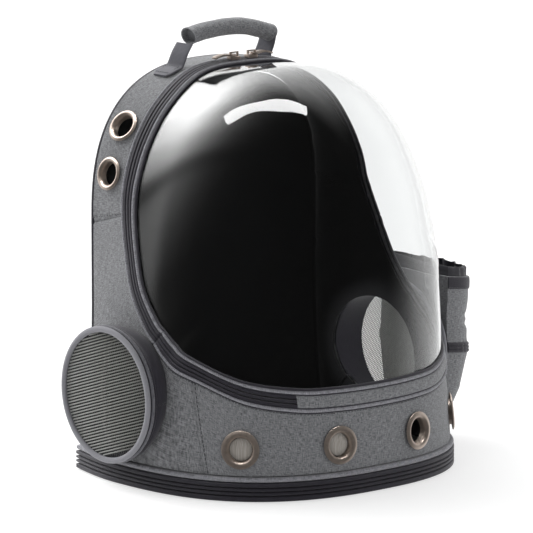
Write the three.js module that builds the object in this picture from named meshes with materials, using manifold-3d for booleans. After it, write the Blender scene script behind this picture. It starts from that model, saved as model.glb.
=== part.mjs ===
// Bubble pet carrier backpack: an arched fabric tub with a clear dome zipped to its front.
// Millimetres, +Z up, the front faces -Y, origin at the centre of the base's underside.
import * as THREE from "three";
import { mergeVertices } from "three/addons/utils/BufferGeometryUtils.js";
import Module from "manifold-3d";

const wasm = await Module();
wasm.setup();

// Driving sizes of the body
const archHeight = 396;
const archHalfWidth = 146.5;
const archSpring = 245;
const archPower = 2.6;
const baseHalfWidth = 160;
const tubHalfWidth = 165;
const tubDepth = 258;
const footHalfWidth = 173;
const footDepth = 262;
const footShoulder = 78;
const footSidePower = 2.45;
const footFrontPower = 2.7;
const wall = 3;
const liningWall = 1.2;
const panelBulge = 3;
const gap = 0.3;

// Sizes of the rim that joins the dome to the fabric
const rimCord = 4;
const tapeWidth = 12.6;
const tapeThick = 2.6;
const tapeGroove = 1.1;
const rimPlay = 0.35;

// Sizes of the dome
const domeWall = 2;
const domeHalfWidth = 164.4;
const domeTop = 404;
const domeSpring = 82;
const domeShoulder = 110;
const domeSidePower = 2.37;
const domeFrontPower = 2.04;
const domeTopPower = 2.93;
const domeEyeHeight = 120;

// Sizes of the base
const bandHeight = 19;
const bandProud = 4;
const bandWall = 6.7;
const grooveDeep = 1;
const grooveHalf = 0.8;
const pipingHeight = 4.7;
const boardThick = 4;
const matThick = 8;
const backPanelThick = 8;
const backCord = 2.2;
const backFlange = 7;

// Sizes of the eyelets
const frontEyelet = { outer: 18.6, bore: 11.7 };
const bandEyelet = { outer: 16.4, bore: 11 };
const eyeletTube = 1.4;
const eyeletDome = 2.6;
const eyeletLift = 1.5;
const eyeletPlay = 0.5;
const frontEyeletHeight = 50.5;
const frontEyeletPitch = 98;
const bandEyeletDepth = 28;
const bandEyeletHeights = [295, 339.5];

// Sizes of the round side windows
const drumRadius = 67;
const drumRise = 23;
const drumFromFront = 178;
const drumDepth = tubDepth - drumFromFront;
const drumHeight = 91;
const drumTaper = 7;
const drumWall = 3;
const ringWidth = 6;
const ringThick = 5;
const netThick = 1.2;
const zipRidge = 1.2;

// Sizes of the side pocket
const pocketLength = 100;
const pocketCentre = 95;
const pocketReach = 50.5;
const pocketBottom = 25;
const pocketTop = 169;
const pocketWall = 2;
const pocketPower = 3.4;
const pocketTilt = 0.15;
const bindingHeight = 12;
const collarRise = 14;
const collarWall = 1.6;
const elasticHeight = 10;
const elasticAt = 92;

// Sizes of the handle
const handleWidth = 28;
const handleDepth = 23;
const handleThick = 2.4;
const footEnd = 77;
const riserAt = 54;
const gripHalf = 56;
const gripTop = 437;
const gripThick = 18;
const gripWidth = 23;
const gripSag = 11;
const gripLean = 12;

// Sizes of the zip sliders and their pulls
const sliderAt = [-5, 15];
const sliderLength = 11;
const sliderWidth = 8;
const sliderThick = 3;
const bridgeRise = 4;
const bridgeWidth = 2;
const pullLength = 26;
const pullWidth = 8;
const pullThick = 1.6;
const pullPlay = 0.6;

// Sizes of the shoulder straps
const strapWidth = 58;
const strapThick = 11;
const strapTop = 350;
const strapBottom = 140;
const strapTopAt = 44;
const strapBottomAt = 78;
const strapBow = 22;
const webWidth = 25;
const webThick = 1.8;
const anchorInset = 36;
const webEndAt = baseHalfWidth - anchorInset;
const webEndHeight = 46;
const buckleLength = 30;
const buckleWidth = 36;
const buckleThick = 6;
const yokeHeight = 30;
const anchorWidth = 37;
const anchorHeight = 30;
const anchorShift = 2;
const anchorAt = webEndAt - anchorShift;
const anchorFrom = 50;

const backY = tubDepth / 2;
const shellStart = 2 * backCord + gap;
const tubFoot = bandHeight + pipingHeight + 4 * gap;
const rimWidth = 2 * rimCord + tapeWidth + 3 * rimPlay;

const at = (x, depth, z) => new THREE.Vector3(x, backY - depth, z);
const mix = (a, b, t) => a + (b - a) * t;

// Half of the rim, from the top centre down the side to the front centre.
// x, d and z are shares of the tub's half width, its depth and the arch's height.
// ground is where the panel that ends at this row starts: 0 to 1 round the arch, 1 to 2 down the
// back edge, 2 to 3 along the base's side and 3 to 4 round its front. bulge is a share of panelBulge.
const rimRows = [
  { x: 0.0, d: 0.24, z: 0.995, ground: 0.0, bulge: 0.2 },
  { x: 0.345, d: 0.249, z: 0.983, ground: 0.19, bulge: 0.2 },
  { x: 0.605, d: 0.262, z: 0.917, ground: 0.4, bulge: 0.2 },
  { x: 0.768, d: 0.267, z: 0.833, ground: 0.61, bulge: 0.2 },
  { x: 0.872, d: 0.277, z: 0.741, ground: 0.83, bulge: 0.2 },
  { x: 0.911, d: 0.288, z: 0.664, ground: 1.0, bulge: 0.3 },
  { x: 0.95, d: 0.332, z: 0.573, ground: 1.19, bulge: 0.5 },
  { x: 0.976, d: 0.385, z: 0.489, ground: 1.43, bulge: 0.8 },
  { x: 0.984, d: 0.465, z: 0.421, ground: 1.8, bulge: 1.0 },
  { x: 0.982, d: 0.515, z: 0.394, ground: 2.0, bulge: 1.0 },
  { x: 0.971, d: 0.566, z: 0.367, ground: 2.9, bulge: 1.0 },
  { x: 0.948, d: 0.63, z: 0.34, ground: 3.31, bulge: 0.9 },
  { x: 0.79, d: 0.803, z: 0.289, ground: 3.53, bulge: 0.7 },
  { x: 0.546, d: 0.926, z: 0.268, ground: 3.72, bulge: 0.6 },
  { x: 0.303, d: 0.98, z: 0.264, ground: 3.86, bulge: 0.6 },
  { x: 0.0, d: 0.997, z: 0.263, ground: 4.0, bulge: 0.6 },
];
const bandSeam = 5;
const frontSeam = 11;
const frontRow = rimRows.length - 1;
const loopRows = 2 * frontRow;
const flapLeft = 13;
const flapRight = 11.5;
const seamPlay = 0.012;

const rimCurve = new THREE.CatmullRomCurve3(
  Array.from({ length: loopRows }, (_, i) => {
    const row = rimRows[i <= frontRow ? i : loopRows - i];
    const side = i <= frontRow ? 1 : -1;
    return at(side * row.x * tubHalfWidth, row.d * tubDepth, row.z * archHeight);
  }),
  true,
  "catmullrom",
  0.5,
);

// Height of the back arch's outline at a half width, and the tub's outline seen from above.
function archPoint(angle) {
  const power = 2 / archPower;
  return {
    x: archHalfWidth * Math.sin(angle) ** power,
    z: archSpring + (archHeight - archSpring) * Math.max(0, Math.cos(angle)) ** power,
  };
}
function backEdge(z) {
  const flare = Math.max(0, 1 - z / (archSpring * 0.7));
  return archHalfWidth + (baseHalfWidth - archHalfWidth) * flare ** 2;
}
function planPoint(ground) {
  if (ground <= 3) {
    const share = ground - 2;
    const x = mix(baseHalfWidth, footHalfWidth, Math.sin((share * Math.PI) / 2));
    return { x, depth: share * footShoulder };
  }
  const angle = ((ground - 3) * Math.PI) / 2;
  return {
    x: footHalfWidth * Math.max(0, Math.cos(angle)) ** (2 / footSidePower),
    depth: footShoulder + (footDepth - footShoulder) * Math.sin(angle) ** (2 / footFrontPower),
  };
}

// A row number turned into its side and its place between two rows of the table.
function rowAt(c) {
  const turned = THREE.MathUtils.euclideanModulo(c + frontRow, loopRows) - frontRow;
  const row = Math.abs(turned);
  const low = Math.min(Math.floor(row), frontRow - 1);
  const share = row - low;
  const value = (name) => mix(rimRows[low][name], rimRows[low + 1][name], share);
  return { side: turned < 0 ? -1 : 1, ground: value("ground"), bulge: value("bulge") };
}
const rimPoint = (c) => rimCurve.getPoint(THREE.MathUtils.euclideanModulo(c / loopRows, 1));
function groundPoint(c) {
  const { side, ground } = rowAt(c);
  if (ground <= 1) {
    const p = archPoint((ground * Math.PI) / 2);
    return at(side * p.x, shellStart, p.z);
  }
  if (ground <= 2) {
    const z = mix(archSpring, tubFoot, ground - 1);
    return at(side * backEdge(z), shellStart, z);
  }
  const p = planPoint(ground);
  return at(side * p.x, Math.max(p.depth, shellStart), tubFoot);
}

// The fabric surface: c runs round the rim, run is the distance from the rim's inner edge.
function frameAt(c) {
  const rim = rimPoint(c);
  const down = groundPoint(c).sub(rim);
  const length = down.length();
  down.divideScalar(length);
  const step = 0.05;
  const middle = (k) => rimPoint(k).add(groundPoint(k));
  const along = middle(c + step).sub(middle(c - step)).normalize();
  const out = new THREE.Vector3().crossVectors(along, down).normalize();
  return { rim, down, along, out, length, bulge: rowAt(c).bulge * panelBulge };
}
function onSurface(frame, run, lift) {
  const share = THREE.MathUtils.clamp(run / frame.length, 0, 1);
  const rise = lift + frame.bulge * 4 * share * (1 - share);
  return frame.rim.clone().addScaledVector(frame.down, run).addScaledVector(frame.out, rise);
}

// Turning geometry into solids and back
function solidOf(geometry) {
  const plain = new THREE.BufferGeometry();
  plain.setAttribute("position", geometry.getAttribute("position"));
  plain.setIndex(geometry.index);
  const merged = mergeVertices(plain, 1e-4);
  return new wasm.Manifold(
    new wasm.Mesh({
      numProp: 3,
      vertProperties: new Float32Array(merged.attributes.position.array),
      triVerts: new Uint32Array(merged.index.array),
    }),
  );
}
function geometryOf(solid) {
  const m = solid.getMesh();
  const points = new Float32Array(m.numVert * 3);
  for (let i = 0; i < m.numVert; i++) {
    points.set(m.vertProperties.subarray(i * m.numProp, i * m.numProp + 3), i * 3);
  }
  const geometry = new THREE.BufferGeometry();
  geometry.setAttribute("position", new THREE.BufferAttribute(points, 3));
  geometry.setIndex(new THREE.BufferAttribute(new Uint32Array(m.triVerts), 1));
  geometry.computeVertexNormals();
  return geometry;
}
const cut = (geometry, ...tools) =>
  geometryOf(tools.reduce((solid, tool) => solid.subtract(solidOf(tool)), solidOf(geometry)));
const join = (...pieces) =>
  geometryOf(pieces.slice(1).reduce((s, p) => s.add(solidOf(p)), solidOf(pieces[0])));

// A body lofted through rings of as many points each. ends is "flat" for a ladder of faces across
// the first and last ring, "closed" when the last ring meets the first, or two tip points.
function loft(rings, ends = "flat") {
  const around = rings[0].length;
  const points = rings.flat();
  const faces = [];
  const spans = ends === "closed" ? rings.length : rings.length - 1;
  for (let i = 0; i < spans; i++) {
    const a = i * around;
    const b = ((i + 1) % rings.length) * around;
    for (let j = 0; j < around; j++) {
      const k = (j + 1) % around;
      faces.push([a + j, a + k, b + k], [a + j, b + k, b + j]);
    }
  }
  const last = (rings.length - 1) * around;
  if (ends === "flat") {
    for (let j = 0; j < around / 2 - 1; j++) {
      const quad = [j, j + 1, around - 2 - j, around - 1 - j];
      const [p, q, r, s] = quad;
      faces.push([p, r, q], [p, s, r]);
      faces.push([last + p, last + q, last + r], [last + p, last + r, last + s]);
    }
  } else if (Array.isArray(ends)) {
    const first = points.push(ends[0]) - 1;
    const second = points.push(ends[1]) - 1;
    for (let j = 0; j < around; j++) {
      const k = (j + 1) % around;
      faces.push([first, k, j], [second, last + j, last + k]);
    }
  }
  const volume = faces.reduce((sum, [p, q, r]) => {
    return sum + points[p].dot(new THREE.Vector3().crossVectors(points[q], points[r]));
  }, 0);
  const turned = volume < 0 ? faces.map(([p, q, r]) => [p, r, q]) : faces;
  const geometry = new THREE.BufferGeometry().setFromPoints(points);
  geometry.setIndex(turned.flat().filter((_, i, all) => filled(all, i, points)));
  geometry.computeVertexNormals();
  return geometry;
}
// Leaves out a face whose corners share a place.
function filled(indices, i, points) {
  const start = i - (i % 3);
  const [a, b, c] = [0, 1, 2].map((k) => points[indices[start + k]]);
  const near = (p, q) => p.distanceToSquared(q) < 1e-8;
  return !(near(a, b) || near(b, c) || near(c, a));
}

// A profile of (run, lift) points carried along the rim from one row number to another.
function alongRim(profile, from, to, closed = false, perRow = 2) {
  const columns = closed ? [] : [from];
  const inside = (c) => closed || (c > from + 0.1 && c < to - 0.1);
  for (let i = Math.ceil(from * perRow); i < to * perRow; i++) {
    if (inside(i / perRow)) columns.push(i / perRow);
  }
  if (!closed) columns.push(to);
  const rings = columns.map((c) => {
    const frame = frameAt(c);
    return profile(frame).map(([run, lift]) => onSurface(frame, run, lift));
  });
  return loft(rings, closed ? "closed" : "flat");
}
// A sheet of the surface between two distances from the rim, as thick as top minus bottom.
function sheet(rows, start, finish, top, bottom) {
  return (frame) => {
    const runs = Array.from({ length: rows + 1 }, (_, i) => mix(start, finish(frame), i / rows));
    return [...runs.map((run) => [run, top]), ...runs.reverse().map((run) => [run, bottom])];
  };
}
const cordProfile = (start, width, low, high) => () => [
  [start, low],
  [start, mix(low, high, 0.6)],
  [start + width * 0.5, high],
  [start + width, mix(low, high, 0.6)],
  [start + width, low],
];

// The place on a side wall at a depth and a height, found by narrowing a search.
function wallSpot(side, measure) {
  let c = { low: 0, high: frontRow };
  let t = { low: 0, high: 1 };
  let best;
  for (let round = 0; round < 7; round++) {
    const steps = 14;
    best = { miss: Infinity };
    for (let i = 0; i <= steps; i++) {
      const row = mix(c.low, c.high, i / steps);
      const frame = frameAt(side * row);
      for (let j = 0; j <= steps; j++) {
        const share = mix(t.low, t.high, j / steps);
        const point = onSurface(frame, share * frame.length, 0);
        const miss = measure(point);
        if (miss < best.miss) best = { miss, row, share, frame, point };
      }
    }
    const half = (range) => (range.high - range.low) / 5;
    c = { low: Math.max(0, best.row - half(c)), high: Math.min(frontRow, best.row + half(c)) };
    t = { low: Math.max(0, best.share - half(t)), high: Math.min(1, best.share + half(t)) };
  }
  return best;
}
const bySide = (side, depth, z) =>
  wallSpot(side, (p) => (backY - p.y - depth) ** 2 + (p.z - z) ** 2);
const byFront = (x, z) => wallSpot(Math.sign(x), (p) => (p.x - x) ** 2 + (p.z - z) ** 2 + p.y * 0.001);

// Turns a shape made along +Z so that it stands on a point and looks along a direction.
function stand(geometry, point, direction) {
  const turn = new THREE.Quaternion().setFromUnitVectors(new THREE.Vector3(0, 0, 1), direction);
  return geometry.applyQuaternion(turn).translate(point.x, point.y, point.z);
}
const rod = (radius, length, sides) =>
  new THREE.CylinderGeometry(radius, radius, length, sides).rotateX(Math.PI / 2);
function lathe(profile, sides) {
  const closed = [...profile, profile[0]].map(([r, z]) => new THREE.Vector2(r, z));
  return new THREE.LatheGeometry(closed, sides).rotateX(Math.PI / 2);
}

const carrier = new THREE.Group();
function finish(color, roughness, metalness = 0) {
  return new THREE.MeshStandardMaterial({ color, roughness, metalness });
}
const greyCloth = finish(0x7c7c81, 0.9);
const darkTape = finish(0x3f3d46, 0.8);
const slateCord = finish(0x75757b, 0.8);
const blackLining = finish(0x1a1a1d, 0.85);
const clearDome = finish(0xeef2f4, 0.05);
clearDome.transparent = true;
clearDome.opacity = 0.3;
const bronze = finish(0x8f8379, 0.3, 1);
const darkNet = finish(0x4a4b4c, 0.8);
const paleDisc = finish(0xb0aba6, 0.7);
function add(name, geometry, material, parent = carrier) {
  const mesh = new THREE.Mesh(geometry, material);
  mesh.name = name;
  parent.add(mesh);
}

// Eyelets: their places on the front panel and on the band
const eyeletSpots = [];
function frontSpot(arc) {
  const bottomLength = (row) => groundPoint(row).distanceTo(groundPoint(row - 0.05));
  let row = frontRow;
  for (let left = Math.abs(arc); left > 0; row -= 0.05) left -= bottomLength(row);
  const x = Math.sign(arc) * Math.abs(groundPoint(row).x);
  return byFront(x, frontEyeletHeight);
}
[-1.5, -0.5, 0.5, 1.5].forEach((share, i) => {
  const spot = frontSpot(share * frontEyeletPitch);
  eyeletSpots.push({ name: `eyelet_front_${i + 1}`, spot, size: frontEyelet });
});
for (const [name, side] of [["left", -1], ["right", 1]]) {
  bandEyeletHeights.forEach((z, i) => {
    const spot = bySide(side, bandEyeletDepth, z);
    eyeletSpots.push({ name: `eyelet_band_${name}_${i + 1}`, spot, size: bandEyelet });
  });
}
const eyeletHole = ({ spot, size }) =>
  stand(rod(size.bore + eyeletTube + eyeletPlay, 8 * wall, 12), spot.point, spot.frame.out);

// Shell panels: laminated cloth walls from the rim to the back edge and the base
const drumSides = [["left", -1], ["right", 1]];
const drumOpening = (side) =>
  rod(drumRadius - drumTaper - 2 * drumWall, 4 * drumRise, 16)
    .rotateY(Math.PI / 2)
    .translate(side * tubHalfWidth, backY - drumDepth, drumHeight);
const panelSheet = sheet(2, rimWidth, (frame) => frame.length, 0, -wall);
const holesOf = (...names) => eyeletSpots.filter((e) => names.some((n) => e.name.startsWith(n)));
add(
  "band",
  cut(
    alongRim(panelSheet, -bandSeam + seamPlay, bandSeam - seamPlay),
    ...holesOf("eyelet_band").map(eyeletHole),
  ),
  greyCloth,
);
for (const [name, side] of drumSides) {
  const from = side < 0 ? -frontSeam + seamPlay : bandSeam + seamPlay;
  const to = side < 0 ? -bandSeam - seamPlay : frontSeam - seamPlay;
  add(`side_panel_${name}`, cut(alongRim(panelSheet, from, to), drumOpening(side)), greyCloth);
}
add(
  "front_panel",
  cut(
    alongRim(panelSheet, frontSeam + seamPlay, loopRows - frontSeam - seamPlay),
    ...holesOf("eyelet_front").map(eyeletHole),
  ),
  greyCloth,
);

// Lining: a thin skin inside the walls, the back and over the floor
const liningTop = -wall - 4 * gap;
const liningEnd = (frame) => {
  const foot = frame.rim.z + frame.down.z * frame.length;
  return frame.length + (foot < tubFoot + 1 && frame.down.z < -0.9 ? pipingHeight + gap : 0);
};
add(
  "lining_side",
  cut(
    alongRim(sheet(1, rimCord, liningEnd, liningTop, liningTop - liningWall), 0, loopRows, true),
    ...eyeletSpots.map(eyeletHole),
    ...drumSides.map(([, side]) => drumOpening(side)),
  ),
  blackLining,
);

// An arch outline moved inwards by inset, from a foot height up.
function archShape(inset, foot) {
  const half = [];
  const steps = 10;
  const place = (x, z, nx, nz) => half.push(new THREE.Vector2(x - nx * inset, z - nz * inset));
  for (let i = 0; i <= steps; i++) {
    const angle = (i / steps) * (Math.PI / 2);
    const p = archPoint(angle);
    const q = archPoint(Math.min(angle + 0.01, Math.PI / 2));
    const r = archPoint(Math.max(angle - 0.01, 0));
    const slope = new THREE.Vector2(r.z - q.z, q.x - r.x).normalize();
    place(p.x, p.z, i ? slope.x : 0, i ? slope.y : 1);
  }
  for (const share of [0.35, 0.6, 0.8, 1]) {
    const z = mix(archSpring, foot, share);
    place(backEdge(z), z, 1, 0);
  }
  const left = half.slice(1).map((p) => new THREE.Vector2(-p.x, p.y));
  return [...half.reverse(), ...left];
}
function archPlate(inset, foot, depthFrom, thick) {
  const shape = new THREE.Shape(archShape(inset, foot));
  const plate = new THREE.ExtrudeGeometry(shape, { depth: thick, bevelEnabled: false });
  return plate.rotateX(Math.PI / 2).translate(0, backY - depthFrom, 0);
}
add("back_panel", archPlate(backFlange, tubFoot, 0, backPanelThick), greyCloth);
const liningInset = backFlange + liningWall + gap;
add("lining_back", archPlate(liningInset, tubFoot, backPanelThick + gap, liningWall), blackLining);

// Piping round the back edge
const backPath = archShape(backCord, tubFoot).reverse();
const backRings = backPath.map((p, i) => {
  const before = backPath[Math.max(i - 1, 0)];
  const after = backPath[Math.min(i + 1, backPath.length - 1)];
  const run = after.clone().sub(before).normalize();
  return Array.from({ length: 6 }, (_, k) => {
    const angle = (k / 6) * 2 * Math.PI;
    const out = Math.cos(angle) * backCord;
    return at(p.x - run.y * out, backCord + Math.sin(angle) * backCord, p.y + run.x * out);
  });
});
add("back_piping", loft(backRings), darkTape);

// Base: a stiff board, a mat over it, a zipped band round it and a piping above the band
function planLoop() {
  const half = [];
  const sideSteps = 3;
  const frontSteps = 11;
  for (let i = 0; i <= sideSteps; i++) half.push(planPoint(2 + i / sideSteps));
  for (let i = 1; i <= frontSteps; i++) half.push(planPoint(3 + i / frontSteps));
  const right = half.map((p) => new THREE.Vector2(p.x, p.depth));
  const left = half.slice(0, -1).map((p) => new THREE.Vector2(-p.x, p.depth));
  return [...right, ...left.reverse()];
}
const plan = planLoop();
function planOffset(distance) {
  return plan.map((p, i) => {
    const before = plan[(i + plan.length - 1) % plan.length];
    const after = plan[(i + 1) % plan.length];
    const u = p.clone().sub(before).normalize();
    const v = after.clone().sub(p).normalize();
    const n = new THREE.Vector2(u.y + v.y, -u.x - v.x).normalize();
    const reach = distance / Math.max(0.6, n.dot(new THREE.Vector2(u.y, -u.x)));
    return p.clone().addScaledVector(n, reach);
  });
}
function planRing(profile) {
  const loops = profile.map(([out, z]) => planOffset(out).map((p) => at(p.x, p.y, z)));
  const rings = plan.map((_, i) => loops.map((loop) => loop[i]));
  return loft(rings, "closed");
}
function planPlate(inset, z, thick) {
  const outline = planOffset(-inset).map((p) => new THREE.Vector2(p.x, backY - p.y));
  const plate = new THREE.ExtrudeGeometry(new THREE.Shape(outline), {
    depth: thick,
    bevelEnabled: false,
  });
  return plate.translate(0, 0, z);
}
const bandInner = bandProud - bandWall;
const grooves = [0.22, 0.5, 0.78].flatMap((share) => {
  const z = share * bandHeight;
  return [
    [bandProud, z - grooveHalf],
    [bandProud - grooveDeep, z],
    [bandProud, z + grooveHalf],
  ];
});
const bandProfile = [
  [bandInner, 0],
  [bandProud, 0],
  ...grooves,
  [bandProud, bandHeight],
  [bandInner, bandHeight],
];
const pipingFrom = bandHeight + gap;
const pipingTo = pipingFrom + pipingHeight;
const pipingOut = bandProud - 0.6;
add("base_zip_band", planRing(bandProfile), darkTape);
add(
  "base_piping",
  planRing([
    [bandInner, pipingFrom],
    [pipingOut - 1, pipingFrom],
    [pipingOut, mix(pipingFrom, pipingTo, 0.5)],
    [pipingOut - 1, pipingTo],
    [bandInner, pipingTo],
  ]),
  slateCord,
);
add("base_board", planPlate(-bandInner + gap, 0, boardThick), darkTape);
const matInset = backPanelThick + liningWall + 2 * gap;
add("floor_mat", planPlate(matInset, boardThick + gap, matThick), blackLining);

// Rim: an inner cord, the zip tape, the plain flap over its hinge at the front and an outer cord
const tapeStart = rimCord + rimPlay;
const outerStart = tapeStart + tapeWidth + rimPlay;
const tapeProfile = () => {
  const rib = tapeWidth / 3;
  const ribs = [0.1, 0.9, 1.3, 1.7, 2.1, 2.9];
  const lowered = (i) => (i === 2 || i === 3 ? tapeGroove : 0);
  const tops = ribs.map((place, i) => [tapeStart + place * rib, tapeThick - lowered(i)]);
  return [[tapeStart, -1], ...tops, [tapeStart + tapeWidth, -1]];
};
const innerCord = cordProfile(0, rimCord, -1.4, 3);
const outerCord = cordProfile(outerStart, rimCord, -1.4, 2.6);
add("rim_cord_inner", alongRim(innerCord, 0, loopRows, true), slateCord);
add("rim_cord_outer", alongRim(outerCord, 0, loopRows, true), slateCord);
add("zip_tape", alongRim(tapeProfile, -flapLeft + seamPlay, flapRight - seamPlay), darkTape);
add(
  "hinge_flap",
  alongRim(cordProfile(tapeStart, tapeWidth, -1, tapeThick - 0.4), flapRight, loopRows - flapLeft),
  greyCloth,
);

// Dome: one clear blown shell whose edge is the rim's inner edge
function domeReach(direction, eye) {
  let low = 0;
  let high = 2 * domeTop;
  for (let i = 0; i < 40; i++) {
    const t = (low + high) / 2;
    const p = eye.clone().addScaledVector(direction, t);
    const forward = Math.max(0, backY - p.y - domeShoulder) / (tubDepth - domeShoulder);
    const upward = Math.max(0, p.z - domeSpring) / (domeTop - domeSpring);
    const full =
      Math.abs(p.x / domeHalfWidth) ** domeSidePower +
      forward ** domeFrontPower +
      upward ** domeTopPower;
    if (full < 1) low = t;
    else high = t;
  }
  return low;
}
const domeEye = at(0, tubDepth * 0.36, domeEyeHeight);
const domePole = new THREE.Vector3(0, -1, 1).normalize();
const domeSteps = 4;
function domeLoop(share, inset) {
  return Array.from({ length: 2 * loopRows }, (_, i) => {
    const frame = frameAt(i / 2);
    const edge = onSurface(frame, -2 * rimPlay, 0).sub(domeEye);
    const radius = edge.length();
    const start = edge.divideScalar(radius);
    const excess = radius / domeReach(start, domeEye) - 1;
    const angle = start.angleTo(domePole);
    const turn = new THREE.Vector3().crossVectors(start, domePole).normalize();
    const direction = start.clone().applyAxisAngle(turn, angle * share);
    const reach = domeReach(direction, domeEye) * (1 + excess * (1 - share) ** 2) - inset;
    return domeEye.clone().addScaledVector(direction, reach);
  });
}
const domeShares = Array.from({ length: domeSteps }, (_, i) => i / domeSteps);
const domeTip = (inset) =>
  domeEye.clone().addScaledVector(domePole, domeReach(domePole, domeEye) - inset);
add(
  "dome",
  loft(
    [
      ...domeShares.toReversed().map((share) => domeLoop(share, 0)),
      ...domeShares.map((share) => domeLoop(share, domeWall)),
    ],
    [domeTip(0), domeTip(domeWall)],
  ),
  clearDome,
);

// Eyelets: a rolled flange on a short tube through the wall and the lining
const eyeletProfile = ({ outer, bore }) => [
  [bore, -wall - 2 * liningWall],
  [bore + eyeletTube, -wall - 2 * liningWall],
  [bore + eyeletTube, eyeletLift],
  [outer, eyeletLift],
  [mix(bore, outer, 0.7), eyeletLift + eyeletDome],
  [bore, eyeletLift + eyeletDome * 0.6],
];
for (const { name, spot, size } of eyeletSpots) {
  add(name, stand(lathe(eyeletProfile(size), 12), spot.point, spot.frame.out), bronze);
}
for (const number of [1, 2]) {
  const { spot } = eyeletSpots.find((e) => e.name === `eyelet_front_${number}`);
  const disc = rod(frontEyelet.bore - gap, liningWall, 12).translate(0, 0, -wall);
  add(`eyelet_net_${number}`, stand(disc, spot.point, spot.frame.out), paleDisc);
}

// Round side windows: a gusset sewn to the wall, a bound ring and a net across it
const drumFace = footHalfWidth + drumRise;
function drumPoint(side, angle, radius, x) {
  return new THREE.Vector3(
    side * x,
    backY - drumDepth - Math.cos(angle) * radius,
    drumHeight + Math.sin(angle) * radius,
  );
}
function drumFoot(side, angle, radius) {
  const depth = drumDepth + Math.cos(angle) * radius;
  const z = drumHeight + Math.sin(angle) * radius;
  return Math.abs(bySide(side, depth, z).point.x) + 3 * gap;
}
for (const [name, side] of drumSides) {
  const sides = 20;
  const footRadius = drumRadius - drumTaper;
  const rings = Array.from({ length: sides }, (_, i) => {
    const angle = (i / sides) * 2 * Math.PI;
    const foot = drumFoot(side, angle, footRadius);
    const inner = footRadius - drumWall;
    const end = drumFace - ringThick - gap;
    return [
      drumPoint(side, angle, inner, foot),
      drumPoint(side, angle, footRadius, foot),
      drumPoint(side, angle, drumRadius - zipRidge, mix(foot, end, 0.55)),
      drumPoint(side, angle, drumRadius, mix(foot, end, 0.7)),
      drumPoint(side, angle, drumRadius, end),
      drumPoint(side, angle, inner, end),
    ];
  });
  add(`drum_gusset_${name}`, loft(rings, "closed"), darkTape);
  const ringProfile = [
    [drumRadius - ringWidth, -ringThick],
    [drumRadius - 0.5, -ringThick],
    [drumRadius, -ringThick * 0.4],
    [drumRadius - 1.8, 0],
    [drumRadius - ringWidth + 1, 0],
    [drumRadius - ringWidth, -ringThick * 0.3],
  ];
  const face = new THREE.Vector3(side * drumFace, backY - drumDepth, drumHeight);
  const outward = new THREE.Vector3(side, 0, 0);
  add(`drum_ring_${name}`, stand(lathe(ringProfile, sides), face, outward), slateCord);
  const net = rod(drumRadius - ringWidth - gap, netThick, sides).translate(0, 0, -ringThick * 0.6);
  add(`drum_net_${name}`, stand(net, face, outward), darkNet);
}

// Side pocket: a cup sewn on the right window's face, with a bound mouth and a gathered collar
// z is a share of the pocket's height, reach and length are shares of its full sizes.
const pocketRows = [
  { z: 0.0, reach: 0.42, length: 0.74 },
  { z: 0.2, reach: 0.72, length: 0.86 },
  { z: 0.46, reach: 0.94, length: 0.98 },
  { z: 0.56, reach: 0.96, length: 0.99 },
  { z: 0.64, reach: 0.97, length: 0.98 },
  { z: 0.72, reach: 0.94, length: 0.97 },
  { z: 0.84, reach: 0.99, length: 1.0 },
  { z: 1.0, reach: 1.0, length: 1.0 },
];
function pocketSize(z) {
  const share = THREE.MathUtils.clamp((z - pocketBottom) / (pocketTop - pocketBottom), 0, 1);
  const high = Math.max(1, pocketRows.findIndex((row) => row.z >= share));
  const [low, top] = [pocketRows[high - 1], pocketRows[high]];
  const t = (share - low.z) / (top.z - low.z);
  return {
    reach: mix(low.reach, top.reach, t) * pocketReach,
    half: (mix(low.length, top.length, t) * pocketLength) / 2,
  };
}
// A loop of the pocket's wall at a height, moved inwards by inset, its flat side towards the body.
function pocketLoop(z, inset, ruffle = 0) {
  const { reach, half } = pocketSize(z);
  const start = drumFace + gap + inset;
  const bowed = 14;
  return Array.from({ length: bowed }, (_, i) => {
    const angle = Math.PI * (i / (bowed - 1));
    const power = 2 / pocketPower;
    const along = Math.sign(Math.cos(angle)) * Math.abs(Math.cos(angle)) ** power * (half - inset);
    const wave = ruffle * (i % 2 ? 1 : -1) * Math.sin(angle);
    const out = Math.sin(angle) ** power * (reach - 2 * inset + wave);
    const reached = Math.max(0, out);
    return at(start + reached, pocketCentre + along, z - pocketTilt * reached);
  });
}
const centreOf = (loop) =>
  loop.reduce((sum, p) => sum.add(p), new THREE.Vector3()).divideScalar(loop.length);
const pocketHeights = pocketRows.map((row) => mix(pocketBottom, pocketTop, row.z));
const cupOuter = pocketHeights.toReversed().map((z) => pocketLoop(z, 0));
const cupInner = pocketHeights
  .toReversed()
  .map((z, i, all) => pocketLoop(i === all.length - 1 ? z + pocketWall : z, pocketWall));
function cupBody() {
  const rings = [...cupOuter.toReversed(), ...cupInner];
  return loft(rings, [centreOf(cupOuter.at(-1)), centreOf(cupInner.at(-1))]);
}
add("side_pocket", cupBody(), greyCloth);
function pocketHoop(low, high, proud) {
  const keepOff = (p) => p.clone().setX(Math.max(p.x, drumFace + gap));
  const outer = (z) => pocketLoop(z, -gap - proud).map(keepOff);
  const inner = (z) => pocketLoop(z, -gap).map(keepOff);
  return { outer: [outer(low), outer(high)], inner: [inner(high), inner(low)] };
}
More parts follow.
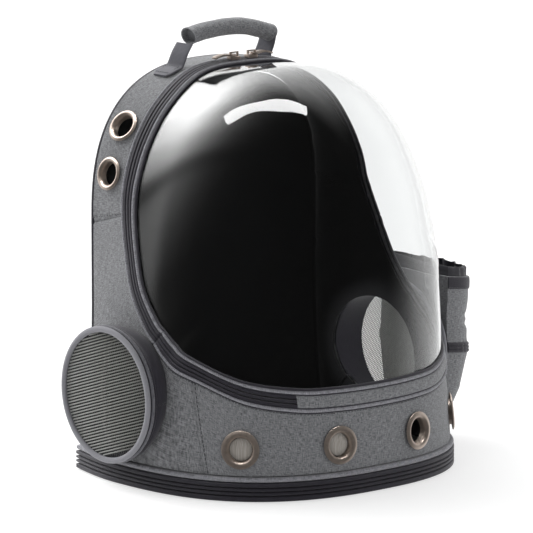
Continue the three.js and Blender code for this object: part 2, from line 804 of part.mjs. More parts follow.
// A bowed strip round the pocket's front, open along the side that is sewn to the window.
function strip(low, high, proud) {
  const { outer, inner } = pocketHoop(low, high, proud);
  const count = outer[0].length;
  const rings = [];
  for (let i = 1; i < count - 1; i++) {
    rings.push([outer[0][i], outer[1][i], inner[0][i], inner[1][i]]);
  }
  return loft(rings);
}
add("pocket_binding", strip(pocketTop - bindingHeight, pocketTop, 1.2), darkTape);
add("pocket_elastic", strip(elasticAt, elasticAt + elasticHeight, 1), darkTape);
const collarLow = pocketTop - bindingHeight;
const collarOff = pocketWall + gap;
const gathered = (inset) =>
  pocketLoop(pocketTop, inset, 1.4).map((p) => p.setZ(pocketTop + collarRise));
const collarRings = [
  pocketLoop(collarLow, collarOff),
  pocketLoop(pocketTop, collarOff),
  gathered(collarOff + 0.6),
  gathered(collarOff + 0.6 + collarWall),
  pocketLoop(pocketTop, collarOff + collarWall),
  pocketLoop(collarLow, collarOff + collarWall),
];
add("pocket_collar", loft(collarRings, "closed"), darkTape);

// Handle: two webbing feet sewn on the band, and a padded grip wrapped round the strap
// A flat strap along a path, as wide as width across the row of side vectors.
function ribbon(path, widthAcross, thick, width) {
  const rings = path.map((p, i) => {
    const run = path[Math.min(i + 1, path.length - 1)].clone().sub(path[Math.max(i - 1, 0)]);
    const across = widthAcross.clone().multiplyScalar(width / 2);
    const up = new THREE.Vector3().crossVectors(run, widthAcross);
    up.setLength(thick / 2);
    return [
      p.clone().add(across).add(up),
      p.clone().sub(across).add(up),
      p.clone().sub(across).sub(up),
      p.clone().add(across).sub(up),
    ];
  });
  return loft(rings);
}
const gripMiddle = gripTop - gripThick / 2;
const gripEnd = gripMiddle - gripSag;
const depthAxis = new THREE.Vector3(0, 1, 0);
function bandTopAt(x) {
  const farDown = (p) => (p.z < archSpring ? archHeight ** 2 : 0);
  const miss = (p) => (p.x - x) ** 2 + (backY - p.y - handleDepth) ** 2 + farDown(p);
  return wallSpot(Math.sign(x), miss).point.z;
}
for (const [name, side] of drumSides) {
  const lift = handleThick / 2 + 2 * gap;
  const foot = [1, 0.85, 0.7].map((share) => {
    const x = mix(riserAt, footEnd, share);
    return at(side * x, handleDepth, bandTopAt(side * x) + lift);
  });
  const spring = at(side * riserAt, handleDepth, bandTopAt(side * riserAt) + lift + 2);
  const bend = at(side * (riserAt + 2), handleDepth + gripLean * 0.45, mix(spring.z, gripEnd, 0.5));
  const top = at(side * (gripHalf + gap), handleDepth + gripLean * 0.9, gripEnd - 2);
  const path = [...foot, spring, bend, top];
  add(`handle_web_${name}`, ribbon(path, depthAxis, handleThick, handleWidth * 0.9), greyCloth);
}
const gripSteps = 8;
const gripSides = 10;
const gripRings = Array.from({ length: gripSteps + 1 }, (_, i) => {
  const share = mix(-1, 1, i / gripSteps);
  const centre = at(
    share * gripHalf * 0.98,
    handleDepth + gripLean,
    mix(gripEnd, gripMiddle, 1 - share ** 2),
  );
  const slope = new THREE.Vector3(gripHalf, 0, -2 * share * gripSag).normalize();
  const up = new THREE.Vector3(-slope.z, 0, slope.x);
  return Array.from({ length: gripSides }, (_, k) => {
    const angle = ((k + 0.5) / gripSides) * 2 * Math.PI;
    return centre
      .clone()
      .addScaledVector(depthAxis, (Math.cos(angle) * gripWidth) / 2)
      .addScaledVector(up, (Math.sin(angle) * gripThick) / 2);
  });
});
add("handle_grip", loft(gripRings), greyCloth);

// Zip sliders, each with a pull that swings on a bar under the slider's bridge
function sliderFrame(x) {
  const c = THREE.MathUtils.clamp(x / (rimRows[1].x * tubHalfWidth), -1, 1);
  const frame = frameAt(c);
  const place = onSurface(frame, tapeStart + tapeWidth / 2, tapeThick + gap);
  const group = new THREE.Group();
  const across = new THREE.Vector3().crossVectors(frame.out, frame.along).normalize();
  group.applyMatrix4(new THREE.Matrix4().makeBasis(frame.along, across, frame.out));
  group.position.copy(place);
  carrier.add(group);
  return group;
}
const box = (x, y, z, cx, cy, cz) => new THREE.BoxGeometry(x, y, z).translate(cx, cy, cz);
const bridgePost = 1.6;
const bridgeHalf = sliderLength * 0.42;
const barRadius = 0.9;
const barHeight = sliderThick + barRadius + pullPlay;
sliderAt.forEach((x, i) => {
  const name = i ? "right" : "left";
  const way = i ? 1 : -1;
  const group = sliderFrame(x);
  const posts = [-1, 1].map((end) =>
    box(bridgePost, bridgeWidth, bridgeRise, end * bridgeHalf, 0, sliderThick + bridgeRise / 2 - 0.2),
  );
  const top = box(2 * bridgeHalf + bridgePost, bridgeWidth, 1.2, 0, 0, sliderThick + bridgeRise);
  const body = box(sliderLength, sliderWidth, sliderThick, 0, 0, sliderThick / 2);
  add(`zip_slider_${name}`, join(body, ...posts, top), bronze, group);
  const arm = (pullWidth - bridgeWidth) / 2 - pullPlay;
  const armLength = bridgeHalf + bridgePost / 2 + pullPlay + 1;
  const arms = [-1, 1].map((end) =>
    box(armLength, arm, pullThick, (way * armLength) / 2, (end * (pullWidth - arm)) / 2, barHeight),
  );
  const bar = new THREE.CylinderGeometry(barRadius, barRadius, pullWidth - 0.5, 8);
  bar.translate(0, 0, barHeight);
  const plateRings = [0, 0.25, 0.5, 0.75, 1].map((share) => {
    const run = way * (armLength - 0.5 + share * (pullLength - armLength));
    const rise = barHeight + Math.sin(share * Math.PI) * 1.6 - share * 1.2;
    const half = (pullWidth / 2) * (1 - 0.25 * share ** 2);
    return [
      [-half, -1],
      [half, -1],
      [half, 1],
      [-half, 1],
    ].map(([y, s]) => new THREE.Vector3(run, y, rise + (s * pullThick) / 2));
  });
  add(`zip_pull_${name}`, join(bar, ...arms, loft(plateRings)), bronze, group);
});

// Shoulder straps on the back: a yoke, two padded straps, webbing, buckles and anchors
const backFace = -gap;
const patchY = backY - backFace + webThick / 2;
const yokeWidth = 2 * strapTopAt + strapWidth;
const yokeAt = strapTop + yokeHeight * 0.3;
add("strap_yoke", box(yokeWidth, webThick, yokeHeight, 0, patchY, yokeAt), darkTape);
for (const [name, side] of drumSides) {
  const pathAt = (share) => {
    const bow = Math.sin(share * Math.PI) ** 0.8 * strapBow;
    const seat = backFace - webThick - gap - strapThick / 2;
    const x = side * mix(strapTopAt, strapBottomAt, share ** 1.3);
    return at(x, seat - bow, mix(strapTop, strapBottom, share));
  };
  const shares = [0, 0.08, 0.2, 0.35, 0.5, 0.65, 0.8, 0.92, 1];
  const rings = shares.map((share) => {
    const centre = pathAt(share);
    const run = pathAt(Math.min(1, share + 0.02)).sub(pathAt(Math.max(0, share - 0.02))).normalize();
    const across = new THREE.Vector3(1, 0, 0).addScaledVector(run, -run.x).normalize();
    const up = new THREE.Vector3().crossVectors(run, across);
    const half = (strapWidth / 2) * (share > 0.85 ? mix(1, 0.6, (share - 0.85) / 0.15) : 1);
    return [
      [-1, -0.3],
      [-0.86, -0.5],
      [0.86, -0.5],
      [1, -0.3],
      [1, 0.3],
      [0.86, 0.5],
      [-0.86, 0.5],
      [-1, 0.3],
    ].map(([a, b]) =>
      centre
        .clone()
        .addScaledVector(across, a * half)
        .addScaledVector(up, b * strapThick),
    );
  });
  add(`strap_${name}`, loft(rings), greyCloth);
  const drop = (strapThick + buckleLength) / 2 + gap;
  const buckleAt = pathAt(1).add(new THREE.Vector3(side * 3, 0, -drop));
  const frame = box(buckleWidth, buckleThick, buckleLength, 0, 0, 0);
  const slots = [-0.26, 0.26].map((share) =>
    box(webWidth + 2, buckleThick * 2, buckleLength * 0.22, 0, 0, share * buckleLength),
  );
  const buckle = cut(frame, ...slots).translate(buckleAt.x, buckleAt.y, buckleAt.z);
  add(`strap_buckle_${name}`, buckle, blackLining);
  const start = buckleAt.clone();
  start.z -= buckleLength / 2 + gap + webThick / 2;
  const end = at(side * webEndAt, backFace - webThick * 1.5 - gap, webEndHeight);
  const middle = start.clone().lerp(end, 0.5);
  const sideways = new THREE.Vector3(1, 0, 0);
  add(`strap_web_${name}`, ribbon([start, middle, end], sideways, webThick, webWidth), darkTape);
  const anchor = box(anchorWidth, webThick, anchorHeight, side * anchorAt, patchY, anchorFrom);
  add(`strap_anchor_${name}`, anchor, darkTape);
}

export default carrier;
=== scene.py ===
import math

import bmesh
import bpy
import numpy as np
from mathutils import Matrix, Vector, noise


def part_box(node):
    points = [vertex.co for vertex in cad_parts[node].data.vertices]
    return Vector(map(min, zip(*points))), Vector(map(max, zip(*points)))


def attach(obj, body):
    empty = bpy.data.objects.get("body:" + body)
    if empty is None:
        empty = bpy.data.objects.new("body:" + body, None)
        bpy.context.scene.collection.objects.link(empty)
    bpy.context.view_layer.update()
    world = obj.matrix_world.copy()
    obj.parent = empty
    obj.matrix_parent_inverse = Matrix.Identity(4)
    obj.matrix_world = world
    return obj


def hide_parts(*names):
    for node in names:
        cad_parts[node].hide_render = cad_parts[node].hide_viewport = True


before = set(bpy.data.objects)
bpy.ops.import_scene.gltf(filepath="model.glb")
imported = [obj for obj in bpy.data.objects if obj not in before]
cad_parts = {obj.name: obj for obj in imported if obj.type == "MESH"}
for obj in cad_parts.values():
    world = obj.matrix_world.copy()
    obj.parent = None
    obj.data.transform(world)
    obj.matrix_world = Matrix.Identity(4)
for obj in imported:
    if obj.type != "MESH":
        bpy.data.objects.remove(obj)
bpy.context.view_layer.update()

# The photographer's view: a long lens from the front left, a little above the rim's lowest edge.
PHOTO_SIDE = 533
view_turn = math.radians(40.961)
view_lift = math.radians(10.298)
view_focal_px = 5026
view_distance = 4.910
view_shift = Vector((-0.03023, 0.00208))
view_target = Vector((0, -0.011, 0.200))
view_forward = Vector(
    (
        math.sin(view_turn) * math.cos(view_lift),
        math.cos(view_turn) * math.cos(view_lift),
        -math.sin(view_lift),
    )
)
view_right = Vector((math.cos(view_turn), -math.sin(view_turn), 0))
view_up = view_right.cross(view_forward)
camera_data = bpy.data.cameras.new("camera")
camera_data.sensor_width = 36
camera_data.lens = view_focal_px / PHOTO_SIDE * camera_data.sensor_width
camera_data.clip_end = 40
camera = bpy.data.objects.new("camera", camera_data)
camera.matrix_world = Matrix((view_right, view_up, -view_forward)).transposed().to_4x4()
camera.location = (
    view_target - view_forward * view_distance + view_right * view_shift.x + view_up * view_shift.y
)
bpy.context.scene.collection.objects.link(camera)
bpy.context.scene.camera = camera


# The cloth tub: grey heather polyester laminated on 3 mm foam, cut in a band over the arch, two
# sides and a front, and sewn together. Each panel runs from the rim down to the back edge or base.
MM = 0.001
arch_height = 396
arch_half_width = 146.5
arch_spring = 245
arch_power = 2.6
base_half_width = 160
tub_half_width = 165
tub_depth = 258
foot_half_width = 173
foot_depth = 262
foot_shoulder = 78
foot_side_power = 2.45
foot_front_power = 2.7
tub_foot = 24.9
wall = 3
panel_bulge = 3
rim_width = 21.65
back_y = tub_depth / 2
shell_start = 4.7

# Half of the rim from the top centre to the front centre, as shares of the half width, depth and
# height. ground is where the panel ends: 0 to 1 on the arch, 1 to 2 down the back, 2 to 4 on the base.
# The last number is the panel's share of the bulge.
rim_rows = np.array(
    [
        (0.0, 0.24, 0.995, 0.0, 0.2),
        (0.345, 0.249, 0.983, 0.19, 0.2),
        (0.605, 0.262, 0.917, 0.4, 0.2),
        (0.768, 0.267, 0.833, 0.61, 0.2),
        (0.872, 0.277, 0.741, 0.83, 0.2),
        (0.911, 0.288, 0.664, 1.0, 0.3),
        (0.95, 0.332, 0.573, 1.19, 0.5),
        (0.976, 0.385, 0.489, 1.43, 0.8),
        (0.984, 0.465, 0.421, 1.8, 1.0),
        (0.982, 0.515, 0.394, 2.0, 1.0),
        (0.971, 0.566, 0.367, 2.9, 1.0),
        (0.948, 0.63, 0.34, 3.31, 0.9),
        (0.79, 0.803, 0.289, 3.53, 0.7),
        (0.546, 0.926, 0.268, 3.72, 0.6),
        (0.303, 0.98, 0.264, 3.86, 0.6),
        (0.0, 0.997, 0.263, 4.0, 0.6),
    ]
)
front_row = len(rim_rows) - 1
loop_rows = 2 * front_row
band_seam = 5
front_seam = 11
left_rows = rim_rows[1:-1][::-1] * (-1, 1, 1, -1, 1)
all_rows = np.concatenate([rim_rows, left_rows])
rim_posts = np.stack(
    [
        all_rows[:, 0] * tub_half_width,
        back_y - all_rows[:, 1] * tub_depth,
        all_rows[:, 2] * arch_height,
    ],
    1,
)


def rim_point(c):
    """Places on the rim's smooth curve at row numbers c."""
    c = np.mod(c, loop_rows)
    i = np.floor(c).astype(int)
    t = (c - i)[:, None]
    a, b, d, e = (rim_posts[(i + k) % loop_rows] for k in (-1, 0, 1, 2))
    curve = (2 * a - 5 * b + 4 * d - e) * t**2 + (3 * b - a - 3 * d + e) * t**3
    return 0.5 * (2 * b + (d - a) * t + curve)


def ground_share(c):
    """Where a panel's column ends, signed by its side: smooth, and never turning back."""
    g = rim_rows[:, 3]
    posts = np.concatenate([-g[1:][::-1], g, 8 - g[:-1][::-1]])
    step = np.diff(posts)
    slope = np.zeros(len(posts))
    slope[1:-1] = 2 * step[:-1] * step[1:] / (step[:-1] + step[1:])
    slope[0], slope[-1] = slope[1], slope[-2]
    place = np.mod(c + front_row, loop_rows)
    i = np.minimum(place.astype(int), len(posts) - 2)
    t = place - i
    start = posts[i] * (1 + 2 * t) + slope[i] * t
    end = posts[i + 1] * (3 - 2 * t) + slope[i + 1] * (t - 1)
    return start * (1 - t) ** 2 + end * t**2


def back_edge(z):
    """Half the back's width at a height: straight sides that flare out to the base."""
    flare = max(0, 1 - z / (arch_spring * 0.7))
    return arch_half_width + (base_half_width - arch_half_width) * flare**2


def arch_point(share):
    """The back arch at 0, its top, to 1, where its side turns straight."""
    angle = share * math.pi / 2
    power = 2 / arch_power
    rise = (arch_height - arch_spring) * max(0, math.cos(angle)) ** power
    return arch_half_width * math.sin(angle) ** power, arch_spring + rise


def plan_point(share):
    """The base's outline at 0, its back corner, to 2, its front centre: half width and depth."""
    if share <= 1:
        spread = (foot_half_width - base_half_width) * math.sin(share * math.pi / 2)
        return base_half_width + spread, share * foot_shoulder
    angle = (min(share, 2) - 1) * math.pi / 2
    x = foot_half_width * max(0, math.cos(angle)) ** (2 / foot_side_power)
    reach = (foot_depth - foot_shoulder) * math.sin(angle) ** (2 / foot_front_power)
    return x, foot_shoulder + reach


def ground_point(c):
    """Where the panels' columns end, on the back edge or round the base."""
    places = []
    for share in ground_share(c):
        side = math.copysign(1, share)
        share = abs(share)
        if share <= 1:
            x, z = arch_point(share)
            depth = shell_start
        elif share <= 2:
            z = arch_spring + (tub_foot - arch_spring) * (share - 1)
            x = back_edge(z)
            depth = shell_start
        else:
            x, depth = plan_point(share - 2)
            z = tub_foot
        places.append((side * x, back_y - max(depth, shell_start), z))
    return np.array(places)


def unit(vectors):
    return vectors / np.linalg.norm(vectors, axis=-1, keepdims=True)


def reach_along(points):
    """How far along a line of points each one is."""
    return np.concatenate([[0], np.cumsum(np.linalg.norm(np.diff(points, axis=0), axis=1))])


class Columns:
    """Lines down the cloth surface at row numbers c, from the rim's inner edge to the ground."""

    def __init__(self, c):
        self.c = np.asarray(c, float)
        self.rim = rim_point(self.c)
        down = ground_point(self.c) - self.rim
        self.length = np.linalg.norm(down, axis=1)
        self.down = down / self.length[:, None]
        middle = [rim_point(self.c + k) + ground_point(self.c + k) for k in (-0.05, 0.05)]
        self.out = unit(np.cross(unit(middle[1] - middle[0]), self.down))
        row = np.abs(np.mod(self.c + front_row, loop_rows) - front_row)
        shares = np.interp(row, np.arange(front_row + 1), rim_rows[:, 4])
        self.bulge = shares * panel_bulge
        self.around = reach_along(self.rim)

    def place(self, run, lift):
        """Points at a distance from the rim's inner edge, lifted off the surface."""
        run = run * np.ones(len(self.c))
        share = np.clip(run / self.length, 0, 1)
        rise = lift + self.bulge * 4 * share * (1 - share)
        return self.rim + self.down * run[:, None] + self.out * np.reshape(rise, (-1, 1))


def mesh_piece(name, points, faces, uvs=None, sharp=50):
    """A smooth mesh object from points in millimetres. uvs holds one pair in metres per point."""
    mesh = bpy.data.meshes.new(name)
    mesh.from_pydata([tuple(p) for p in np.asarray(points) * MM], [], faces)
    if uvs is not None:
        layer = mesh.uv_layers.new(name="weave")
        corner_points = np.zeros(len(mesh.loops), int)
        mesh.loops.foreach_get("vertex_index", corner_points)
        layer.data.foreach_set("uv", (np.asarray(uvs)[corner_points] * MM).ravel())
    tidy = bmesh.new()
    tidy.from_mesh(mesh)
    bmesh.ops.remove_doubles(tidy, verts=tidy.verts, dist=1e-6)
    bmesh.ops.dissolve_degenerate(tidy, dist=1e-7, edges=tidy.edges)
    bmesh.ops.recalc_face_normals(tidy, faces=tidy.faces)
    tidy.to_mesh(mesh)
    tidy.free()
    mesh.shade_smooth()
    mesh.set_sharp_from_angle(angle=math.radians(sharp))
    piece = bpy.data.objects.new(name, mesh)
    bpy.context.scene.collection.objects.link(piece)
    return piece


def loft_piece(name, rings, closed=False, uvs=None, tips=None, sharp=50):
    """A closed body through rings of as many points each, with flat ends or two end points."""
    rings = np.asarray(rings, float)
    count, around = rings.shape[:2]
    points = rings.reshape(-1, 3)
    faces = []
    for i in range(count if closed else count - 1):
        a = i * around
        b = (i + 1) % count * around
        for j in range(around):
            k = (j + 1) % around
            faces.append((a + j, a + k, b + k, b + j))
    last = (count - 1) * around
    if tips is not None:
        points = np.concatenate([points, tips])
        for j in range(around):
            k = (j + 1) % around
            faces.append((len(points) - 2, k, j))
            faces.append((len(points) - 1, last + j, last + k))
        if uvs is not None:
            uvs = np.concatenate([uvs, uvs[:1], uvs[-1:]])
    elif not closed:
        for j in range(around // 2 - 1):
            quad = (j, j + 1, around - 2 - j, around - 1 - j)
            faces.append(quad)
            faces.append(tuple(last + k for k in quad))
    return mesh_piece(name, points, faces, uvs, sharp)


def rim_piece(name, profile, c, closed=False, sharp=50):
    """A body whose profile of (run, lift) pairs is carried along the rim at row numbers c."""
    columns = Columns(c)
    pairs = profile(columns)
    rings = np.stack([columns.place(run, lift) for run, lift in pairs], 1)
    uvs = np.zeros((*rings.shape[:2], 2))
    uvs[:, :, 0] = columns.around[:, None]
    for k, (run, _) in enumerate(pairs):
        uvs[:, k, 1] = run
    return loft_piece(name, rings, closed, uvs.reshape(-1, 2), sharp=sharp)


def fine_rows(start, end, per_row=8):
    """Row numbers from one seam to another, closer together at both seams."""
    inside = np.arange(math.ceil(start * per_row), math.floor(end * per_row) + 1) / per_row
    inside = inside[(inside > start + 0.16) & (inside < end - 0.16)]
    edge = np.array([0, 0.03, 0.07, 0.13])
    return np.concatenate([start + edge, inside, end - edge[::-1]])


def rumple(points, size, depth, seed):
    """Soft uneven depth at each point, as the foam under the cloth gives."""
    offset = Vector((seed * 7.3, seed * 3.1, seed * 5.7))
    return np.array([depth * noise.noise(Vector(p) / size + offset) for p in points])


seam_depth = 1.5
cloth_rows = 14


def panel_profile(start, end, seed):
    """A panel's cross-section: soft foam between sunk seams, and a flat inside."""

    def profile(columns):
        from_seam = np.minimum(columns.c - start, end - columns.c)
        dip = -seam_depth * np.exp(-from_seam / 0.035)
        outer = []
        for share in np.linspace(0, 1, cloth_rows + 1):
            run = rim_width + (columns.length - rim_width) * share
            free = math.sin(math.pi * share) ** 0.5
            soft = rumple(columns.place(run, 0), 46, 1.1, seed)
            soft += rumple(columns.place(run, 0), 17, 0.35, seed + 1)
            outer.append((run, soft * free + dip))
        inner = [(run, -wall) for run, _ in outer[::-4]]
        return outer + inner

    return profile


# Pressed eyelets stand on the band and the front panel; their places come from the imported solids.
def middle_of(node):
    low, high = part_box(node)
    return (low + high) / 2


def wall_grid(c, shares):
    """Points and outward directions of the cloth surface, to find a place on it."""
    columns = Columns(c)
    points = np.stack([columns.place(columns.length * s, 0) for s in shares], 1)
    outs = np.repeat(columns.out[:, None], len(shares), 1)
    return points.reshape(-1, 3), outs.reshape(-1, 3)


wall_points, wall_outs = wall_grid(np.arange(0, loop_rows, 0.05), np.linspace(0, 1, 90))


def wall_near(point):
    """The cloth surface's place next to a point, and its outward direction there."""
    i = np.argmin(((wall_points - np.array(point) / MM) ** 2).sum(1))
    return Vector(wall_points[i]) * MM, Vector(wall_outs[i])


front_eyelets = [f"eyelet_front_{i}" for i in (1, 2, 3, 4)]
band_eyelets = [f"eyelet_band_{side}_{i}" for side in ("left", "right") for i in (1, 2)]
# Outer and bore radius of each eyelet
eyelet_sizes = {name: (18.6, 11.7) for name in front_eyelets}
eyelet_sizes.update({name: (16.4, 11) for name in band_eyelets})
eyelet_hole_slack = 1.6


def punch(piece, cutters):
    """Cuts the given tools out of a piece and removes them."""
    for cutter in cutters:
        hole = piece.modifiers.new("hole", "BOOLEAN")
        hole.operation = "DIFFERENCE"
        hole.solver = "EXACT"
        hole.object = cutter
    settle(piece)
    for cutter in cutters:
        bpy.data.objects.remove(cutter)


def settle(piece):
    """Turns a piece's modifiers into its plain mesh."""
    bpy.context.view_layer.update()
    evaluated = piece.evaluated_get(bpy.context.evaluated_depsgraph_get())
    mesh = bpy.data.meshes.new_from_object(evaluated)
    piece.modifiers.clear()
    piece.data = mesh


def rod_cutter(place, direction, radius, length, sides=48):
    """A round rod that cuts a hole, its middle on a place."""
    tool = bmesh.new()
    bmesh.ops.create_cone(
        tool,
        cap_ends=True,
        segments=sides,
        radius1=radius * MM,
        radius2=radius * MM,
        depth=length * MM,
    )
    turn = direction.to_track_quat("Z", "Y").to_matrix().to_4x4()
    tool.transform(Matrix.Translation(place) @ turn)
    mesh = bpy.data.meshes.new("cutter")
    tool.to_mesh(mesh)
    tool.free()
    cutter = bpy.data.objects.new("cutter", mesh)
    bpy.context.scene.collection.objects.link(cutter)
    return cutter


def eyelet_cutters(names):
    """Tools for the holes that the eyelets' tubes go through."""
    cutters = []
    for name in names:
        middle = middle_of(name)
        radius = eyelet_sizes[name][1] + eyelet_hole_slack
        cutters.append(rod_cutter(middle, wall_near(middle)[1], radius, 24))
    return cutters


drum_depth = 80
drum_height = 91
drum_radius = 67
drum_opening = 54
panel_clearance = 2.5


def window_cutter(side, wider=0):
    """A tool for a window's hole, from inside the cabin to past the wall."""
    place = Vector((side * tub_half_width, back_y - drum_depth, drum_height)) * MM
    return rod_cutter(place, Vector((side, 0, 0)), drum_opening + wider, 90, 72)


panels = {
    "band": (-band_seam, band_seam, eyelet_cutters(band_eyelets)),
    "side_panel_right": (band_seam, front_seam, [window_cutter(1, panel_clearance)]),
    "side_panel_left": (-front_seam, -band_seam, [window_cutter(-1, panel_clearance)]),
    "front_panel": (front_seam, loop_rows - front_seam, eyelet_cutters(front_eyelets)),
}
for seed, (name, (start, end, cutters)) in enumerate(panels.items()):
    panel = rim_piece(f"{name}_cloth", panel_profile(start, end, seed), fine_rows(start, end))
    punch(panel, cutters)
    panels[name] = panel


def linear(code):
    """An sRGB hex colour as the shader's linear one."""
    values = [int(code[i : i + 2], 16) / 255 for i in (1, 3, 5)]
    curve = [v / 12.92 if v <= 0.04045 else ((v + 0.055) / 1.055) ** 2.4 for v in values]
    return (*curve, 1)


def add_node(tree, kind, settings, inputs):
    """A shader or geometry node with its settings and its values or links."""
    node = tree.nodes.new(kind)
    for name, value in settings.items():
        setattr(node, name, value)
    for name, value in inputs.items():
        if isinstance(value, bpy.types.NodeSocket):
            tree.links.new(value, node.inputs[name])
        else:
            node.inputs[name].default_value = value
    return node


def start_material(name, roughness, **shader_inputs):
    """A named material, its node tree and its shader."""
    material = bpy.data.materials.new(name)
    material.use_nodes = True
    tree = material.node_tree
    shader = tree.nodes["Principled BSDF"]
    shader.inputs["Roughness"].default_value = roughness
    for socket, value in shader_inputs.items():
        shader.inputs[socket.replace("_", " ")].default_value = value
    return material, tree, shader


# Mix node sockets: factor, first colour, second colour, and the colour that comes out.
FACTOR, FIRST, SECOND, RESULT = 0, 6, 7, 2


def threads(tree, vector, across, along, detail=2.0):
    """Uneven streaks as long and as wide as single yarns, given in millimetres."""
    stretch = (1 / (across * MM), 1 / (along * MM), 1 / (across * MM))
    scaled = add_node(tree, "ShaderNodeVectorMath", {"operation": "MULTIPLY"}, {0: vector, 1: stretch})
    return add_node(
        tree,
        "ShaderNodeTexNoise",
        {"noise_dimensions": "2D"},
        {"Vector": scaled.outputs[0], "Scale": 1.0, "Detail": detail, "Roughness": 0.6},
    ).outputs[0]


# Heather polyester: yarns spun from pale and dark fibres in a plain weave. It reads as a mid grey
# with short pale and dark flecks both ways, quite matt, with a faint sheen at grazing angles.
# The real yarns are 0.3 mm apart. The flecks are drawn 0.6 mm wide so that they show.
fleck_width = 0.6
fleck_length = 5.0


def heather_cloth(name, dark, pale, source="UV"):
    material, tree, shader = start_material(
        name, 0.88, Sheen_Weight=0.25, Sheen_Roughness=0.5, Specular_IOR_Level=0.25
    )
    place = add_node(tree, "ShaderNodeTexCoord", {}, {}).outputs[source]
    warp = threads(tree, place, fleck_width, fleck_length)
    weft = threads(tree, place, fleck_length, fleck_width)
    both = add_node(tree, "ShaderNodeMath", {"operation": "ADD"}, {0: warp, 1: weft})
    flecks = add_node(
        tree,
        "ShaderNodeMapRange",
        {},
        {"Value": both.outputs[0], "From Min": 0.7, "From Max": 1.3},
    )
    cloud = add_node(tree, "ShaderNodeTexNoise", {}, {"Vector": place, "Scale": 14.0, "Detail": 3.0})
    toned = add_node(
        tree,
        "ShaderNodeMath",
        {"operation": "MULTIPLY_ADD"},
        {0: cloud.outputs[0], 1: 0.12, 2: -0.06},
    )
    level = add_node(
        tree,
        "ShaderNodeMath",
        {"operation": "ADD", "use_clamp": True},
        {0: flecks.outputs[0], 1: toned.outputs[0]},
    )
    colour = add_node(
        tree,
        "ShaderNodeMix",
        {"data_type": "RGBA"},
        {FACTOR: level.outputs[0], FIRST: linear(dark), SECOND: linear(pale)},
    )
    bump = add_node(
        tree,
        "ShaderNodeBump",
        {},
        {"Strength": 0.5, "Distance": 0.0003, "Height": both.outputs[0]},
    )
    tree.links.new(colour.outputs[RESULT], shader.inputs["Base Color"])
    tree.links.new(bump.outputs[0], shader.inputs["Normal"])
    return material


def dress(piece, material, nodes=(), body="carrier"):
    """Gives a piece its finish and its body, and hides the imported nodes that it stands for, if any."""
    piece.data.materials.clear()
    piece.data.materials.append(material)
    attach(piece, body)
    if nodes:
        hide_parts(*nodes)


heather = heather_cloth("heather_polyester", "#4B4C4E", "#8C8D90")
for name, panel in panels.items():
    dress(panel, heather, [name])


# The rim: two piping cords in slate polyester tape, a coil zip between them, and at the front a
# flap of the grey cloth sewn over the tape as the dome's hinge. Thin dark tubes of tape between the
# parts paint the shade in the narrow gaps, and everything is stitched in one seam.
cord_width = 4
tape_width = 12.6
tape_start = cord_width + 0.35
outer_start = tape_start + tape_width + 0.35
flap_left = 13
flap_right = 11.5


def cord_profile(start, width, low, high):
    """A sewn-in cord: a round top on two flat sides."""
    angles = np.linspace(math.pi, 0, 13)
    top = [
        (
            start + width / 2 * (1 + math.cos(a)),
            low + 0.8 + (high - low - 0.8) * math.sin(a) ** 0.8,
        )
        for a in angles
    ]
    return lambda columns: [(start, low), *top, (start + width, low)]


def smooth_rows(start, end, per_row=8):
    count = max(2, round((end - start) * per_row))
    return np.linspace(start, end, count + 1)


closed_rows = np.arange(0, loop_rows, 1 / 8)


def tape_cover(columns):
    """The zip: a tape edge, two rolled covers meeting at a deep slit, and the other tape edge."""
    shares = np.linspace(0, 1, 61)
    lifts = []
    for s in shares:
        slit = min(abs(s - 1 / 3), abs(s - 2 / 3), s, 1 - s)
        lifts.append(2.5 - 3.0 * math.exp(-((slit / 0.045) ** 2)))
    top = [(tape_start + tape_width * s, lift) for s, lift in zip(shares, lifts)]
    return [(tape_start, -1.2), *top, (tape_start + tape_width, -1.2)]


def flap_cover(columns):
    """The hinge flap: flat cloth with a turned edge on each side and a soft crown."""
    shares = np.linspace(0, 1, 21)
    edge = [min(s, 1 - s) for s in shares]
    lifts = [
        1.2 + 1.1 * (1 - math.exp(-e / 0.05)) + 0.5 * math.sin(math.pi * s) for s, e in zip(shares, edge)
    ]
    soft = rumple(columns.place(tape_start + 6, 0), 14, 0.5, 9)
    top = [(tape_start + tape_width * s, lift + soft) for s, lift in zip(shares, lifts)]
    return [(tape_start, -1), *top, (tape_start + tape_width, -1)]


inner_cord = rim_piece(
    "rim_inner_piping", cord_profile(0, cord_width, -1.4, 3), closed_rows, closed=True
)
outer_cord = rim_piece(
    "rim_outer_piping", cord_profile(outer_start, cord_width, -1.4, 2.8), closed_rows, closed=True
)
rim_zip = rim_piece("rim_zip", tape_cover, smooth_rows(-flap_left, flap_right), sharp=70)
flap = rim_piece("hinge_flap_cloth", flap_cover, smooth_rows(flap_right, loop_rows - flap_left, 16))


